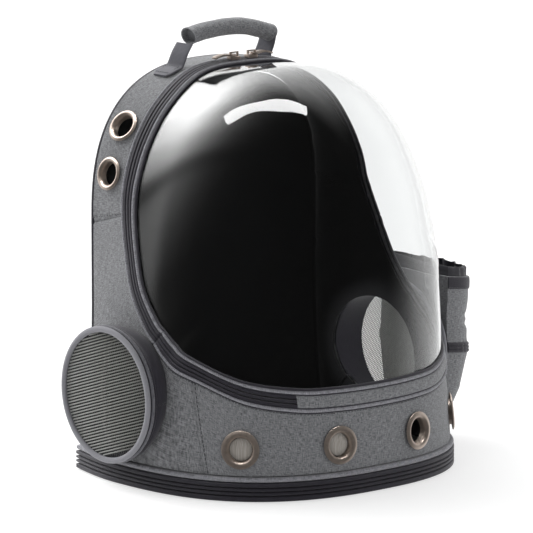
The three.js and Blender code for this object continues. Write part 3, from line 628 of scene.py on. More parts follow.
# Ribbon tape: nylon woven in a close twill. It is even in colour, with a slight shine along the
# yarns and fine ribs across it 1 mm apart, drawn at their real size.
def ribbon_tape(name, colour, darker, rib=1.0, roughness=0.7, source="UV"):
    material, tree, shader = start_material(
        name, roughness, Sheen_Weight=0.2, Sheen_Roughness=0.4, Specular_IOR_Level=0.3
    )
    place = add_node(tree, "ShaderNodeTexCoord", {}, {}).outputs[source]
    ribs = add_node(
        tree,
        "ShaderNodeTexWave",
        {"wave_type": "BANDS", "bands_direction": "X"},
        {
            "Vector": place,
            "Scale": 1 / (rib * MM) / 20 * math.tau,
            "Distortion": 1.2,
            "Detail": 2.0,
        },
    )
    streaks = threads(tree, place, 9, 0.8)
    level = add_node(
        tree,
        "ShaderNodeMath",
        {"operation": "MULTIPLY", "use_clamp": True},
        {0: ribs.outputs[1], 1: streaks},
    )
    tone = add_node(
        tree,
        "ShaderNodeMix",
        {"data_type": "RGBA"},
        {FACTOR: level.outputs[0], FIRST: linear(darker), SECOND: linear(colour)},
    )
    bump = add_node(
        tree,
        "ShaderNodeBump",
        {},
        {"Strength": 0.35, "Distance": 0.0002, "Height": ribs.outputs[1]},
    )
    tree.links.new(tone.outputs[RESULT], shader.inputs["Base Color"])
    tree.links.new(bump.outputs[0], shader.inputs["Normal"])
    return material


def rim_tape_and_gap_shade(name, run, lift, radius):
    """A thin dark tube of tape along the rim, round like a cord. Set between two parts of the rim, it is
    painted shade in the gap.
    """
    angles = np.linspace(0, math.tau, 8, endpoint=False)
    pairs = [(run + radius * math.cos(a), lift + radius * math.sin(a)) for a in angles]
    return rim_piece(name, lambda columns: pairs, closed_rows, closed=True)


slate_piping = heather_cloth("heather_piping", "#606065", "#98989E")
dark_zip = ribbon_tape("dark_zip_tape", "#47454E", "#25232A", roughness=0.6)
dress(inner_cord, slate_piping, ["rim_cord_inner"])
dress(outer_cord, slate_piping, ["rim_cord_outer"])
dress(rim_zip, dark_zip, ["zip_tape"])
dress(flap, heather, ["hinge_flap"])
# Each dark tube's distance from the rim's inner edge, its height and its radius. The first three
# are painted shade in the gaps beside the cords; the last is the dark tape at the dome's edge.
rim_tapes_and_gap_shades = [
    rim_tape_and_gap_shade("rim_inner_gap_shade", cord_width + 0.2, 1.3, 0.75),
    rim_tape_and_gap_shade("rim_middle_gap_shade", outer_start - 0.2, 1.3, 0.75),
    rim_tape_and_gap_shade("rim_outer_gap_shade", outer_start + cord_width + 0.5, 0.2, 0.8),
    rim_tape_and_gap_shade("dome_edge_tape", -1.1, 0.9, 1.5),
]
for dark_tube in rim_tapes_and_gap_shades:
    dress(dark_tube, dark_zip)


# The dome: one clear acrylic sheet blown to a bubble and trimmed to the rim, 2 mm thick. It bulges
# past the straight line from the rim to the top, and it is fullest over the front.
dome_wall = 2
dome_half_width = 164.4
dome_top = 404
dome_spring = 82
dome_shoulder = 110
dome_powers = (2.37, 2.04, 2.93)
dome_eye = np.array((0, back_y - tub_depth * 0.36, 120))
dome_pole = np.array((0, -1, 1)) / math.sqrt(2)
dome_steps = 30
halvings = 34


def dome_reach(directions):
    """How far the bubble's surface is from its middle, along each direction."""
    low = np.zeros(len(directions))
    high = np.full(len(directions), 2.0 * dome_top)
    for _ in range(halvings):
        t = (low + high) / 2
        x, y, z = (dome_eye + directions * t[:, None]).T
        forward = np.maximum(0, back_y - y - dome_shoulder) / (tub_depth - dome_shoulder)
        upward = np.maximum(0, z - dome_spring) / (dome_top - dome_spring)
        terms = (np.abs(x / dome_half_width), forward, upward)
        full = sum(term**power for term, power in zip(terms, dome_powers))
        low = np.where(full < 1, t, low)
        high = np.where(full < 1, high, t)
    return low


dome_edge = Columns(np.arange(0, loop_rows, 1 / 6)).place(-0.7, 0) - dome_eye
edge_radius = np.linalg.norm(dome_edge, axis=1)
edge_start = dome_edge / edge_radius[:, None]
edge_excess = edge_radius / dome_reach(edge_start) - 1
edge_angle = np.arccos(edge_start @ dome_pole)


def dome_loop(share, inset):
    """A loop of the bubble, from its trimmed edge at 0 to its crown at 1."""
    angle = edge_angle[:, None]
    start_part = np.sin(angle * (1 - share)) / np.sin(angle)
    pole_part = np.sin(angle * share) / np.sin(angle)
    direction = edge_start * start_part + dome_pole * pole_part
    reach = dome_reach(direction) * (1 + edge_excess * (1 - share) ** 2) - inset
    return dome_eye + direction * reach[:, None]


dome_shares = np.linspace(0, 1, dome_steps, endpoint=False)
crown = dome_reach(dome_pole[None])[0]
dome_rings = [dome_loop(s, 0) for s in dome_shares[::-1]] + [dome_loop(s, dome_wall) for s in dome_shares]
dome = loft_piece(
    "clear_dome",
    dome_rings,
    tips=[dome_eye + dome_pole * crown, dome_eye + dome_pole * (crown - dome_wall)],
    sharp=60,
)

# Clear cast acrylic, blown hot: colourless and glossy, with its real index of 1.49.
acrylic = start_material(
    "clear_acrylic", 0.0, Transmission_Weight=1.0, IOR=1.49, Base_Color=linear("#FDFEFE")
)[0]
dress(dome, acrylic, ["dome"])


# The base: a stiff board in the zip band that lets the tub fold down, with a cord of piping above.
# The band is two rows of coil zip under dark tape, seen as rolled ridges with slits between them.
band_height = 19
band_proud = 4
band_inner = -2.7
piping_height = 4.7
plan_half = [plan_point(s) for s in np.concatenate([np.linspace(0, 1, 17), np.linspace(1, 2, 61)[1:]])]
plan = np.array(plan_half + [(-x, d) for x, d in plan_half[:-1][::-1]])


def plan_offset(distance):
    """The base's outline moved outwards."""
    before = unit(plan - np.roll(plan, 1, 0))
    after = unit(np.roll(plan, -1, 0) - plan)
    normal = unit(np.stack([before[:, 1] + after[:, 1], -before[:, 0] - after[:, 0]], 1))
    lean = (normal * np.stack([before[:, 1], -before[:, 0]], 1)).sum(1)
    return plan + normal * (distance / np.maximum(0.6, lean))[:, None]


plan_reach = reach_along(plan)


def plan_piece(name, profile, sharp=50):
    """A body whose (outward, height) profile is carried round the base."""
    loops = [plan_offset(out) for out, _ in profile]
    rings = [
        [(loop[i][0], back_y - loop[i][1], z) for loop, (_, z) in zip(loops, profile)]
        for i in range(len(plan))
    ]
    uvs = [(reach, out + z) for reach in plan_reach for out, z in profile]
    return loft_piece(name, rings, True, uvs, sharp=sharp)


# The slits' places and half width are shares of the band's height.
slits = (0.0, 0.32, 0.53, 0.74, 1.0)
slit_depth = 3.2
slit_width = 0.032
ridge_profile = []
for share in np.linspace(0.0, 1.0, 101):
    near = min(abs(share - slit) for slit in slits)
    sunk = slit_depth * math.exp(-((near / slit_width) ** 2))
    ridge_profile.append((band_proud - sunk, share * band_height))
foot_zip = plan_piece(
    "base_zip_band_tape", [(band_inner, 0), *ridge_profile, (band_inner, band_height)], sharp=75
)
piping_from = band_height + 0.3
piping_angles = np.linspace(-math.pi / 2, math.pi / 2, 11)
piping_round = [
    (
        band_proud - 2.6 + 2.2 * math.cos(a),
        piping_from + piping_height / 2 * (1 + math.sin(a)),
    )
    for a in piping_angles
]
foot_piping = plan_piece(
    "base_piping_tape",
    [(band_inner, piping_from), *piping_round, (band_inner, piping_from + piping_height)],
)
dress(foot_zip, dark_zip, ["base_zip_band"])
dress(foot_piping, slate_piping, ["base_piping"])


# The eyelets: two-part brass eyelets in polished gunmetal, pressed through cloth and lining. The
# front ones are 37 mm across and the band's 33 mm, each a crowned flange rolled into a short tube.
def turned_piece(name, profile, place, direction, sides=72, sharp=40):
    """A body turned from a closed (radius, height) profile, standing on a place."""
    rings = []
    for angle in np.linspace(0, math.tau, sides, endpoint=False):
        rings.append([(r * math.cos(angle), r * math.sin(angle), z) for r, z in profile])
    piece = loft_piece(name, rings, closed=True, sharp=sharp)
    turn = direction.to_track_quat("Z", "Y").to_matrix().to_4x4()
    piece.data.transform(Matrix.Translation(place) @ turn)
    return piece


def eyelet_profile(outer, bore):
    """Rolled flange, from the back of its edge over the crown and down the tube."""
    lift = 1.5
    sheet = 1.4
    tube_end = -4.6
    edge_round = 0.7
    crown_rise = 0.9
    roll = 3.2
    roll_drop = 4.2
    crown = lift + 2 * edge_round + crown_rise
    flat = outer - edge_round
    lip = bore + roll
    points = [(bore + sheet, tube_end), (bore + sheet, lift), (outer - 0.6, lift)]
    for a in np.linspace(-0.5, 1, 7) * math.pi / 2:
        height = lift + edge_round * (1 + math.sin(a))
        points.append((flat + edge_round * math.cos(a), height))
    for s in np.linspace(0.15, 1, 7):
        height = crown - crown_rise * (1 - math.sin(s * math.pi / 2))
        points.append((flat + (lip - flat) * s, height))
    for a in np.linspace(0.12, 1, 10) * math.pi / 2:
        points.append((lip - roll * math.sin(a), crown - roll_drop * (1 - math.cos(a))))
    points.append((bore, tube_end))
    return points


# Gunmetal plating: dark warm nickel over brass, polished. Bright at the crown, brown in shadow.
gunmetal, gunmetal_tree, gunmetal_shader = start_material("gunmetal_plating", 0.4, Metallic=0.8)
gunmetal_place = add_node(gunmetal_tree, "ShaderNodeTexCoord", {}, {}).outputs["Object"]
gunmetal_wear = add_node(
    gunmetal_tree, "ShaderNodeTexNoise", {}, {"Vector": gunmetal_place, "Scale": 260.0, "Detail": 4.0}
)
gunmetal_tone = add_node(
    gunmetal_tree,
    "ShaderNodeMix",
    {"data_type": "RGBA"},
    {FACTOR: gunmetal_wear.outputs[0], FIRST: linear("#A3958B"), SECOND: linear("#C6B8AD")},
)
gunmetal_rough = add_node(
    gunmetal_tree,
    "ShaderNodeMapRange",
    {},
    {"Value": gunmetal_wear.outputs[0], "To Min": 0.33, "To Max": 0.45},
)
gunmetal_tree.links.new(gunmetal_tone.outputs[RESULT], gunmetal_shader.inputs["Base Color"])
gunmetal_tree.links.new(gunmetal_rough.outputs[0], gunmetal_shader.inputs["Roughness"])


for name, (outer, bore) in eyelet_sizes.items():
    middle = middle_of(name)
    seat, out = wall_near(middle)
    seat = middle + out * (seat - middle).dot(out)
    eyelet = turned_piece(f"{name}_metal", eyelet_profile(outer, bore), seat, out)
    dress(eyelet, gunmetal, [name])


# The lining: black polyester, a little loose, sewn in with the rim and the base. The right band
# eyelets end on it, and the others and both windows go through.
gap = 0.3
lining_wall = 1.2
lining_top = -wall - 4 * gap
lining_slack = 2.6


def lining_profile(columns):
    """The lining's cross-section, from the inner cord to the back edge or the board."""
    foot_z = columns.rim[:, 2] + columns.down[:, 2] * columns.length
    on_base = (foot_z < tub_foot + 1) & (columns.down[:, 2] < -0.9)
    end = columns.length + on_base * (piping_height + gap)
    faces = []
    for share in np.linspace(0, 1, 11):
        run = cord_width + (end - cord_width) * share
        loose = np.abs(rumple(columns.place(run, 0), 38, lining_slack, 21))
        slack = loose * math.sin(math.pi * share)
        faces.append((run, lining_top - slack))
    backs = [(run, lift - lining_wall) for run, lift in faces[::-1]]
    return faces + backs


lining = rim_piece("tub_lining", lining_profile, closed_rows, closed=True)
open_eyelets = [name for name in eyelet_sizes if "band_right" not in name]
punch(lining, eyelet_cutters(open_eyelets) + [window_cutter(-1), window_cutter(1)])

black_lining = ribbon_tape("black_polyester_lining", "#1F1F21", "#141415", rib=0.9, roughness=0.7)
dress(lining, black_lining, ["lining_side"])


def arch_half(z_top, half_width, z):
    """Half the arch's width at a height, for an arch of that height and half width."""
    if z <= arch_spring:
        return back_edge(z) - arch_half_width + half_width
    share = min(1, (z - arch_spring) / (z_top - arch_spring))
    return half_width * (1 - share**arch_power) ** (1 / arch_power)


def arch_heights(z_top, foot):
    """Heights up a plate of the arch, closer together where it closes over."""
    turn = [math.sin(a) ** (2 / arch_power) for a in np.linspace(0, math.pi / 2, 30)]
    straight = np.linspace(foot, arch_spring, 34)[:-1]
    return [*straight, *(arch_spring + (z_top - arch_spring) * t for t in turn[:-1]), z_top - 0.02]


def arch_pad(name, inset, foot, back, front, relief):
    """A plate of the arch's outline between two depths. relief lowers its back face at (x, z)."""
    z_top = arch_height - inset
    half_width = arch_half_width - inset
    across = np.linspace(-1, 1, 61)
    rings = []
    uvs = []
    for z in arch_heights(z_top, foot):
        half = arch_half(z_top, half_width, z)
        top_gap = (z_top - z) / 6
        behind = []
        for u in across:
            edge = min(half * (1 - abs(u)) / 6, top_gap, (z - foot) / 6 + 0.15)
            rounding = 3 * (1 - min(1, edge)) ** 2
            behind.append((u * half, back_y - back - relief(u * half, z) - rounding, z))
        before = [(u * half, back_y - front, z) for u in across[::-1]]
        rings.append(behind + before)
        uvs += [(x, z) for x, _, _ in behind + before]
    return loft_piece(name, rings, uvs=uvs, sharp=60)


# The back panel: foam 8 mm thick under cloth, quilted with channels that let air past the back.
channel_at = 62
channel_depth, channel_width = 2.6, 3.2
bar_depth, bar_width = 1.9, 3.0
bar_heights = [78 + 62 * i for i in range(5)]
back_foam = 8


def quilted(x, z):
    """Depth of the sewn channels: three upright ones, and bars across between them."""
    upright = min(abs(x), abs(abs(x) - channel_at))
    level = min(abs(z - height) for height in bar_heights)
    channel = channel_depth * math.exp(-((upright / channel_width) ** 2))
    bar = bar_depth * math.exp(-((level / bar_width) ** 2))
    return max(channel, bar)


back_pad = arch_pad("back_panel_foam", 7, tub_foot, 0, back_foam, quilted)
lining_front = back_foam + gap + lining_wall
back_lining = arch_pad("back_lining_cloth", 8.5, tub_foot, back_foam + gap, lining_front, lambda x, z: 0)
dress(back_pad, heather, ["back_panel"])
dress(back_lining, black_lining, ["lining_back"])


def tube_piece(name, path, radius, sides=12, wide=None):
    """A tube along a path of points in millimetres, its map running along and round it."""
    path = np.asarray(path, float)
    run = unit(np.gradient(path, axis=0))
    guide = np.array((0.0, 1.0, 0.0)) if abs(run[:, 1]).max() < 0.9 else np.array((0.31, 0.2, 0.93))
    first = unit(np.cross(run, guide))
    second = np.cross(run, first)
    reach = reach_along(path)
    rings = []
    uvs = []
    for p, f, s, r in zip(path, first, second, reach):
        for a in np.linspace(0, math.tau, sides, endpoint=False):
            rings.append(p + f * radius * math.cos(a) + s * (wide or radius) * math.sin(a))
            uvs.append((r, a * radius))
    rings = np.array(rings).reshape(len(path), sides, 3)
    return loft_piece(name, rings, uvs=uvs)


# The piping round the back edge: dark tape sewn over a cord.
piping_radius = 2.2
arch_half_path = [
    (
        arch_half(arch_height - piping_radius, arch_half_width - piping_radius, z),
        back_y - piping_radius,
        z,
    )
    for z in arch_heights(arch_height - piping_radius, tub_foot)
]
arch_path = arch_half_path + [(-x, y, z) for x, y, z in arch_half_path[::-1]]
back_cord = tube_piece("back_piping_tape", arch_path, piping_radius, 16)
dress(back_cord, dark_zip, ["back_piping"])


# The floor: a stiff board in coated dark cloth that the carrier stands on, and a padded mat.
def plan_pad(name, inset, levels):
    """A pad of the base's outline through (share of its size, height) levels, bottom to top."""
    outline = plan_offset(-inset)
    middle = np.array((0, outline[:, 1].mean()))
    rings = []
    uvs = []
    for share, z in levels:
        loop = middle + (outline - middle) * share
        rings.append([(x, back_y - d, z) for x, d in loop])
        uvs += [(x, d) for x, d in loop]
    ends = [(0, back_y - middle[1], levels[0][1]), (0, back_y - middle[1], levels[-1][1])]
    return loft_piece(name, rings, uvs=uvs, tips=ends)


board_levels = [(0.5, 0), (0.985, 0), (1, 0.6), (1, 3.6), (0.99, 4), (0.5, 4)]
board = plan_pad("base_board_cloth", 3.0, board_levels)
mat_edge = [(0.5, 4.3), (0.985, 4.3), (1, 5.5), (1, 9), (0.99, 10.6)]
mat_levels = [*mat_edge, (0.97, 11.4), (0.9, 12.0), (0.5, 12.3)]
mat = plan_pad("floor_mat_pad", 9.8, mat_levels)
dress(board, dark_zip, ["base_board"])
dress(mat, black_lining, ["floor_mat"])


# The round side windows: a gusset of dark coated cloth sewn to the wall, a coil zip round it, a
# bound ring with a darker cord behind it, and a net. They unzip and pull out into a tunnel.
ring_thick = 5
ring_width = 6
drum_face = 196
gusset_inner = 57
gusset_foot = 60.6
sewn_radius = 60
gusset_swell = 5.6
window_zip_width = 7.4
window_zip_from = drum_face - ring_thick - gap - window_zip_width


def wall_x(side, depth, z):
    """How far out the cloth wall is at a depth and a height."""
    across = (wall_points[:, 1] - back_y + depth) ** 2 + (wall_points[:, 2] - z) ** 2
    across = across + np.where(wall_points[:, 0] * side > 0, 0, 1e9)
    near = np.argsort(across)[:6]
    weight = 1 / (across[near] + 0.05)
    return float((np.abs(wall_points[near, 0]) * weight).sum() / weight.sum())


def gusset_profile(foot):
    """From the wall to the ring as (radius, distance out), the zip's ridges last."""
    rows = [(gusset_inner, foot - 1.0), (gusset_foot, foot - 1.0)]
    for s in np.linspace(0.04, 1, 11):
        radius = gusset_foot + gusset_swell * math.sin(s * math.pi / 2) ** 0.8
        rows.append((radius, foot + (window_zip_from - foot) * s))
    for s in np.linspace(0.04, 1, 23):
        ridge = abs(math.sin(s * math.pi * 2)) ** 0.5
        rows.append((65.0 + 2.0 * ridge, window_zip_from + window_zip_width * s))
    rows.append((gusset_inner, drum_face - ring_thick - gap))
    return rows


def round_section(radius, height, half_width, half_thick, count):
    """An oval cord's section as (radius, height) points, to be turned round a window."""
    angles = np.linspace(0, math.tau, count, endpoint=False)
    return [(radius + half_width * math.cos(a), height + half_thick * math.sin(a)) for a in angles]


net_radius = drum_radius - ring_width - gap
ring_edge = round_section(drum_radius - ring_width / 2, -ring_thick / 2, ring_width / 2, ring_thick / 2, 20)
cord_edge = round_section(65.4, -ring_thick - 2.6, 2.1, 2.0, 16)
dull_piping = heather_cloth("dull_piping", "#47474C", "#6E6E74", source="Object")
for name, side in (("left", -1), ("right", 1)):
    rings = []
    uvs = []
    for angle in np.linspace(0, math.tau, 120, endpoint=False):
        y, z = -math.cos(angle), math.sin(angle)
        foot = wall_x(side, drum_depth - sewn_radius * y, drum_height + sewn_radius * z)
        rows = gusset_profile(foot)
        centre = back_y - drum_depth
        rings.append([(side * x, centre + y * r, drum_height + z * r) for r, x in rows])
        uvs += [(angle * drum_radius, x) for r, x in rows]
    gusset = loft_piece(f"window_gusset_{name}", rings, closed=True, uvs=uvs, sharp=75)
    dress(gusset, dark_zip, [f"drum_gusset_{name}"])
    face = Vector((side * drum_face, back_y - drum_depth, drum_height)) * MM
    outward = Vector((side, 0, 0))
    bound_ring = turned_piece(f"window_ring_{name}", ring_edge, face, outward, 120)
    dress(bound_ring, slate_piping, [f"drum_ring_{name}"])
    second = turned_piece(f"window_piping_{name}", cord_edge, face, outward, 120)
    dress(second, dull_piping)


# The nets: open woven polyester, made by a node tree as two sets of bars across a disc. The real
# yarns are 1.3 mm apart. The left window's bars are drawn 2.9 mm apart, the least that shows as
# lines, and the right window's 2 mm apart, because light behind it makes finer ones show.
def new_tree(name, sizes):
    """A geometry node tree with named number inputs, and its input and output nodes."""
    tree = bpy.data.node_groups.new(name, "GeometryNodeTree")
    tree.interface.new_socket("Geometry", in_out="INPUT", socket_type="NodeSocketGeometry")
    tree.interface.new_socket("Geometry", in_out="OUTPUT", socket_type="NodeSocketGeometry")
    keys = {}
    for size in sizes:
        socket = tree.interface.new_socket(size, in_out="INPUT", socket_type="NodeSocketFloat")
        keys[size] = socket.identifier
    cloth = tree.interface.new_socket("Finish", in_out="INPUT", socket_type="NodeSocketMaterial")
    keys["Finish"] = cloth.identifier
    return tree, keys, add_node(tree, "NodeGroupInput", {}, {}), tree.nodes.new("NodeGroupOutput")


net_tree, net_keys, net_in, net_out = new_tree("woven_net", ["Radius", "Pitch", "Yarn", "Cross yarn"])
net_count = add_node(
    net_tree,
    "ShaderNodeMath",
    {"operation": "DIVIDE"},
    {0: net_in.outputs["Radius"], 1: net_in.outputs["Pitch"]},
)
net_double = add_node(
    net_tree, "ShaderNodeMath", {"operation": "MULTIPLY"}, {0: net_count.outputs[0], 1: 2.0}
)
net_low = add_node(
    net_tree, "ShaderNodeMath", {"operation": "MULTIPLY"}, {0: net_in.outputs["Radius"], 1: -0.992}
)
net_start = add_node(net_tree, "ShaderNodeCombineXYZ", {}, {"X": net_low.outputs[0]})
net_step = add_node(net_tree, "ShaderNodeCombineXYZ", {}, {"X": net_in.outputs["Pitch"]})
net_line = add_node(
    net_tree,
    "GeometryNodeMeshLine",
    {"mode": "OFFSET"},
    {
        "Count": net_double.outputs[0],
        "Start Location": net_start.outputs[0],
        "Offset": net_step.outputs[0],
    },
)
net_at = add_node(net_tree, "GeometryNodeInputPosition", {}, {}).outputs[0]
net_place = add_node(net_tree, "ShaderNodeSeparateXYZ", {}, {0: net_at})
net_off = add_node(
    net_tree,
    "ShaderNodeMath",
    {"operation": "DIVIDE"},
    {0: net_place.outputs["X"], 1: net_in.outputs["Radius"]},
)
net_square = add_node(
    net_tree, "ShaderNodeMath", {"operation": "POWER"}, {0: net_off.outputs[0], 1: 2.0}
)
net_rest = add_node(
    net_tree, "ShaderNodeMath", {"operation": "SUBTRACT"}, {0: 1.0, 1: net_square.outputs[0]}
)
net_reach = add_node(net_tree, "ShaderNodeMath", {"operation": "SQRT"}, {0: net_rest.outputs[0]})
net_sets = []
for yarn, turn in (("Yarn", 0.0), ("Cross yarn", math.pi / 2)):
    full = add_node(
        net_tree, "ShaderNodeMath", {"operation": "MULTIPLY"}, {0: net_in.outputs["Radius"], 1: 2.0}
    )
    bar = add_node(
        net_tree,
        "GeometryNodeMeshCylinder",
        {},
        {"Vertices": 6, "Radius": net_in.outputs[yarn], "Depth": full.outputs[0]},
    )
    stretch = add_node(net_tree, "ShaderNodeCombineXYZ", {}, {"X": 1.0, "Y": 1.0, "Z": net_reach.outputs[0]})
    bars = add_node(
        net_tree,
        "GeometryNodeInstanceOnPoints",
        {},
        {
            "Points": net_line.outputs[0],
            "Instance": bar.outputs["Mesh"],
            "Rotation": (math.pi / 2, 0, 0),
            "Scale": stretch.outputs[0],
        },
    )
    turned = add_node(
        net_tree,
        "GeometryNodeTransform",
        {},
        {"Geometry": bars.outputs[0], "Rotation": (0, 0, turn)},
    )
    net_sets.append(turned.outputs[0])
net_both = add_node(net_tree, "GeometryNodeJoinGeometry", {}, {})
for bars in net_sets:
    net_tree.links.new(bars, net_both.inputs[0])
net_real = add_node(net_tree, "GeometryNodeRealizeInstances", {}, {"Geometry": net_both.outputs[0]})
net_finish = add_node(
    net_tree,
    "GeometryNodeSetMaterial",
    {},
    {"Geometry": net_real.outputs[0], "Material": net_in.outputs["Finish"]},
)
net_tree.links.new(net_finish.outputs[0], net_out.inputs[0])


def grown(name, tree, keys, values, mesh=None):
    """A piece that a node tree makes, turned into a plain mesh."""
    piece = bpy.data.objects.new(name, mesh or bpy.data.meshes.new(name))
    bpy.context.scene.collection.objects.link(piece)
    modifier = piece.modifiers.new("made", "NODES")
    modifier.node_group = tree
    for key, value in values.items():
        modifier[keys[key]] = value
    settle(piece)
    piece.data.shade_smooth()
    return piece


# Net yarn: solution-dyed polyester, mid grey and slightly glossy where the round yarns catch light.
net_yarn = ribbon_tape("dark_net_yarn", "#8F908D", "#62635F", rib=1.3, roughness=0.5, source="Object")
net_slope = math.radians(18)
net_depth = 3.6
# Pitch and the radius of the yarns each way
net_sizes = {"left": (2.9, 0.88, 0.26), "right": (2.0, 0.42, 0.36)}
for name, side in (("left", -1), ("right", 1)):
    pitch, yarn, cross = net_sizes[name]
    values = {"Radius": net_radius, "Pitch": pitch, "Yarn": yarn, "Cross yarn": cross}
    values = {key: size * MM for key, size in values.items()}
    net = grown(f"window_net_{name}", net_tree, net_keys, {**values, "Finish": net_yarn})
    lie = Matrix.Rotation(side * net_slope, 4, "X") @ Matrix.Rotation(math.pi / 2, 4, "Y")
    seat = Vector((side * (drum_face - net_depth), back_y - drum_depth, drum_height)) * MM
    net.data.transform(Matrix.Translation(seat) @ lie)
    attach(net, "carrier")
    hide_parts(f"drum_net_{name}")

# Pale cloth discs close two front eyelets from inside, a little domed by the padding behind them.
pale_cloth = heather_cloth("pale_net_cloth", "#8B8680", "#ADA8A2", source="Object")
disc_behind = [(0.01, -3.2), (10.9, -3.8), (11.2, -3.4)]
disc_before = [(10.4, -2.9), (7, -2.3), (3.5, -2.0), (0.01, -1.9)]
for number in (1, 2):
    seat, out = wall_near(middle_of(f"eyelet_front_{number}"))
    disc = turned_piece(f"eyelet_cloth_{number}", disc_behind + disc_before, seat, out, 48)
    dress(disc, pale_cloth, [f"eyelet_net_{number}"])


# The side pocket: a cup of the grey cloth sewn on the right window's face. Elastic cinches it low
# down, dark tape binds its mouth, and a drawn collar of thin dark cloth closes it.
pocket_centre = 95
pocket_reach = 50.5
pocket_half = 50
pocket_bottom = 25
pocket_top = 169
pocket_wall = 2
pocket_power = 2.7
pocket_tilt = 0.15
elastic_low, elastic_high = 92, 102
# Shares of the pocket's height, and of its reach and length there
pocket_rows = np.array(
    [
        (0.0, 0.5, 0.76),
        (0.2, 0.8, 0.9),
        (0.46, 0.97, 1.0),
        (0.56, 0.96, 0.99),
        (0.64, 0.97, 0.98),
        (0.72, 0.94, 0.97),
        (0.84, 0.99, 1.0),
        (1.0, 1.0, 1.0),
    ]
)


gather_count = 19
gather_depth = 0.9
gather_reach = 13
# Height, depth and tilt of each sagging fold
sags = ((109, 2.0, 5), (119, 2.8, -6), (131, 1.6, 7))
sag_width = 3.2


def pocket_fold(share, z):
    """The cloth's folds: sagging ones above the elastic, and small gathers on both sides of it."""
    from_elastic = abs(z - (elastic_low + elastic_high) / 2)
    gather = gather_depth * math.exp(-from_elastic / gather_reach)
    gather *= math.cos(share * math.tau * gather_count)
    sag = 0
    for level, depth, tilt in sags:
        ridge = (z - level - tilt * (share - 0.5)) / sag_width
        sag -= depth * math.exp(-(ridge**2)) * (0.6 + 0.4 * math.sin(share * 9 + level))
    return gather + (sag if z > elastic_high else sag * 0.4)


def pocket_loop(z, inset, folds=0.0, ruffle=0.0, sides=97):
    """The pocket's line at a height, from the window's face round its free sides and back."""
    share = np.clip((z - pocket_bottom) / (pocket_top - pocket_bottom), 0, 1)
    reach = np.interp(share, pocket_rows[:, 0], pocket_rows[:, 1]) * pocket_reach
    half = np.interp(share, pocket_rows[:, 0], pocket_rows[:, 2]) * pocket_half
    start = drum_face + gap + inset
    loop = []
    for even in np.linspace(0, 1, sides):
        t = even - 0.85 * math.sin(math.tau * even) / math.tau
        angle = math.pi * t
        power = 2 / pocket_power
        along = math.copysign(abs(math.cos(angle)) ** power, math.cos(angle)) * (half - inset)
        free = max(0, math.sin(angle)) ** power
        wave = folds * pocket_fold(t, z) + ruffle * math.cos(t * math.tau * 13)
        out = max(0, free * (reach - 2 * inset) + wave * min(1, 3 * math.sin(angle)))
        loop.append((start + out, back_y - pocket_centre - along, z - pocket_tilt * out))
    return np.array(loop)


pocket_levels = np.linspace(pocket_bottom, pocket_top, 71)
cup_out = [pocket_loop(z, 0, folds=1) for z in pocket_levels]
cup_in = [pocket_loop(max(z, pocket_bottom + pocket_wall), pocket_wall, folds=1) for z in pocket_levels[::-1]]
cup_ends = [cup_out[0].mean(0), cup_in[-1].mean(0)]
cup_uvs = []
for loop in cup_out + cup_in:
    cup_uvs += [(r, loop[0][2]) for r in reach_along(loop)]
pocket = loft_piece("pocket_cloth", cup_out + cup_in, uvs=cup_uvs, tips=cup_ends)
dress(pocket, heather, ["side_pocket"])


def pocket_strip(name, low, high, proud, waves, sharp=60):
    """A band sewn round the pocket's free sides, with its outside shaped by rows of ridges."""
    levels = np.linspace(low, high, 19)
    loops = []
    for z in levels:
        ridge = abs(math.sin((z - low) / (high - low) * math.pi * waves)) ** 0.5
        loops.append(pocket_loop(z, -gap - proud * (0.35 + 0.65 * ridge), folds=1))
    behind = [pocket_loop(z, -gap, folds=1) for z in (high, low)]
    rings = []
    uvs = []
    for i in range(len(loops[0])):
        ring = [loop[i] for loop in loops] + [loop[i] for loop in behind]
        rings.append([(max(x, drum_face + gap), y, z) for x, y, z in ring])
        uvs += [(i * 2.2, p[2]) for p in ring]
    return loft_piece(name, rings, uvs=uvs, sharp=sharp)


pocket_edge = pocket_strip("pocket_binding_tape", pocket_top - 12, pocket_top, 1.2, 1)
pocket_cinch = pocket_strip("pocket_elastic_tape", elastic_low, elastic_high, 1.5, 3, sharp=75)
dress(pocket_edge, dark_zip, ["pocket_binding"])
dress(pocket_cinch, dark_zip, ["pocket_elastic"])

collar_rise = 14
collar_off = pocket_wall + gap


def collar_loop(share, inset):
    """The drawn collar leans in and gathers as it rises, higher at the back than at the front."""
    base = pocket_loop(pocket_top, collar_off + inset + 2.0 * share, ruffle=2.6 * share)
    slope = (base[:, 1] - base[:, 1].mean()) / pocket_half
    ragged = np.array([noise.noise(Vector((x / 9, y / 9, 3))) for x, y, _ in base])
    base[:, 2] += share * (collar_rise - 3.2 + 2.4 * slope + 2.0 * ragged) - (1 - share) * 6
    return base


collar_shares = np.linspace(0, 1, 9)
collar_out = [collar_loop(s, 0) for s in collar_shares]
collar_in = [collar_loop(s, 1.3) for s in collar_shares[::-1]]
collar = loft_piece("pocket_collar_cloth", collar_out + collar_in, closed=True, sharp=80)

# Thin coated nylon: closer and shinier than the rest, almost black in its folds.
collar_cloth = ribbon_tape("collar_nylon", "#3E3D44", "#26252B", rib=0.8, roughness=0.45, source="Object")
dress(collar, collar_cloth, ["pocket_collar"])


# The handle: webbing sewn flat on the band at both ends, rising to a padded grip. The grip is a
# foam roll with the grey cloth wrapped round it, its edge sewn down underneath.
handle_depth = 23
handle_thick = 2.4
handle_width = 25.2
foot_end = 77
riser_at = 54
grip_half = 56
grip_top = 437
grip_thick = 18
grip_width = 23
grip_sag = 11
grip_lean = 12
grip_middle = grip_top - grip_thick / 2
grip_end = grip_middle - grip_sag


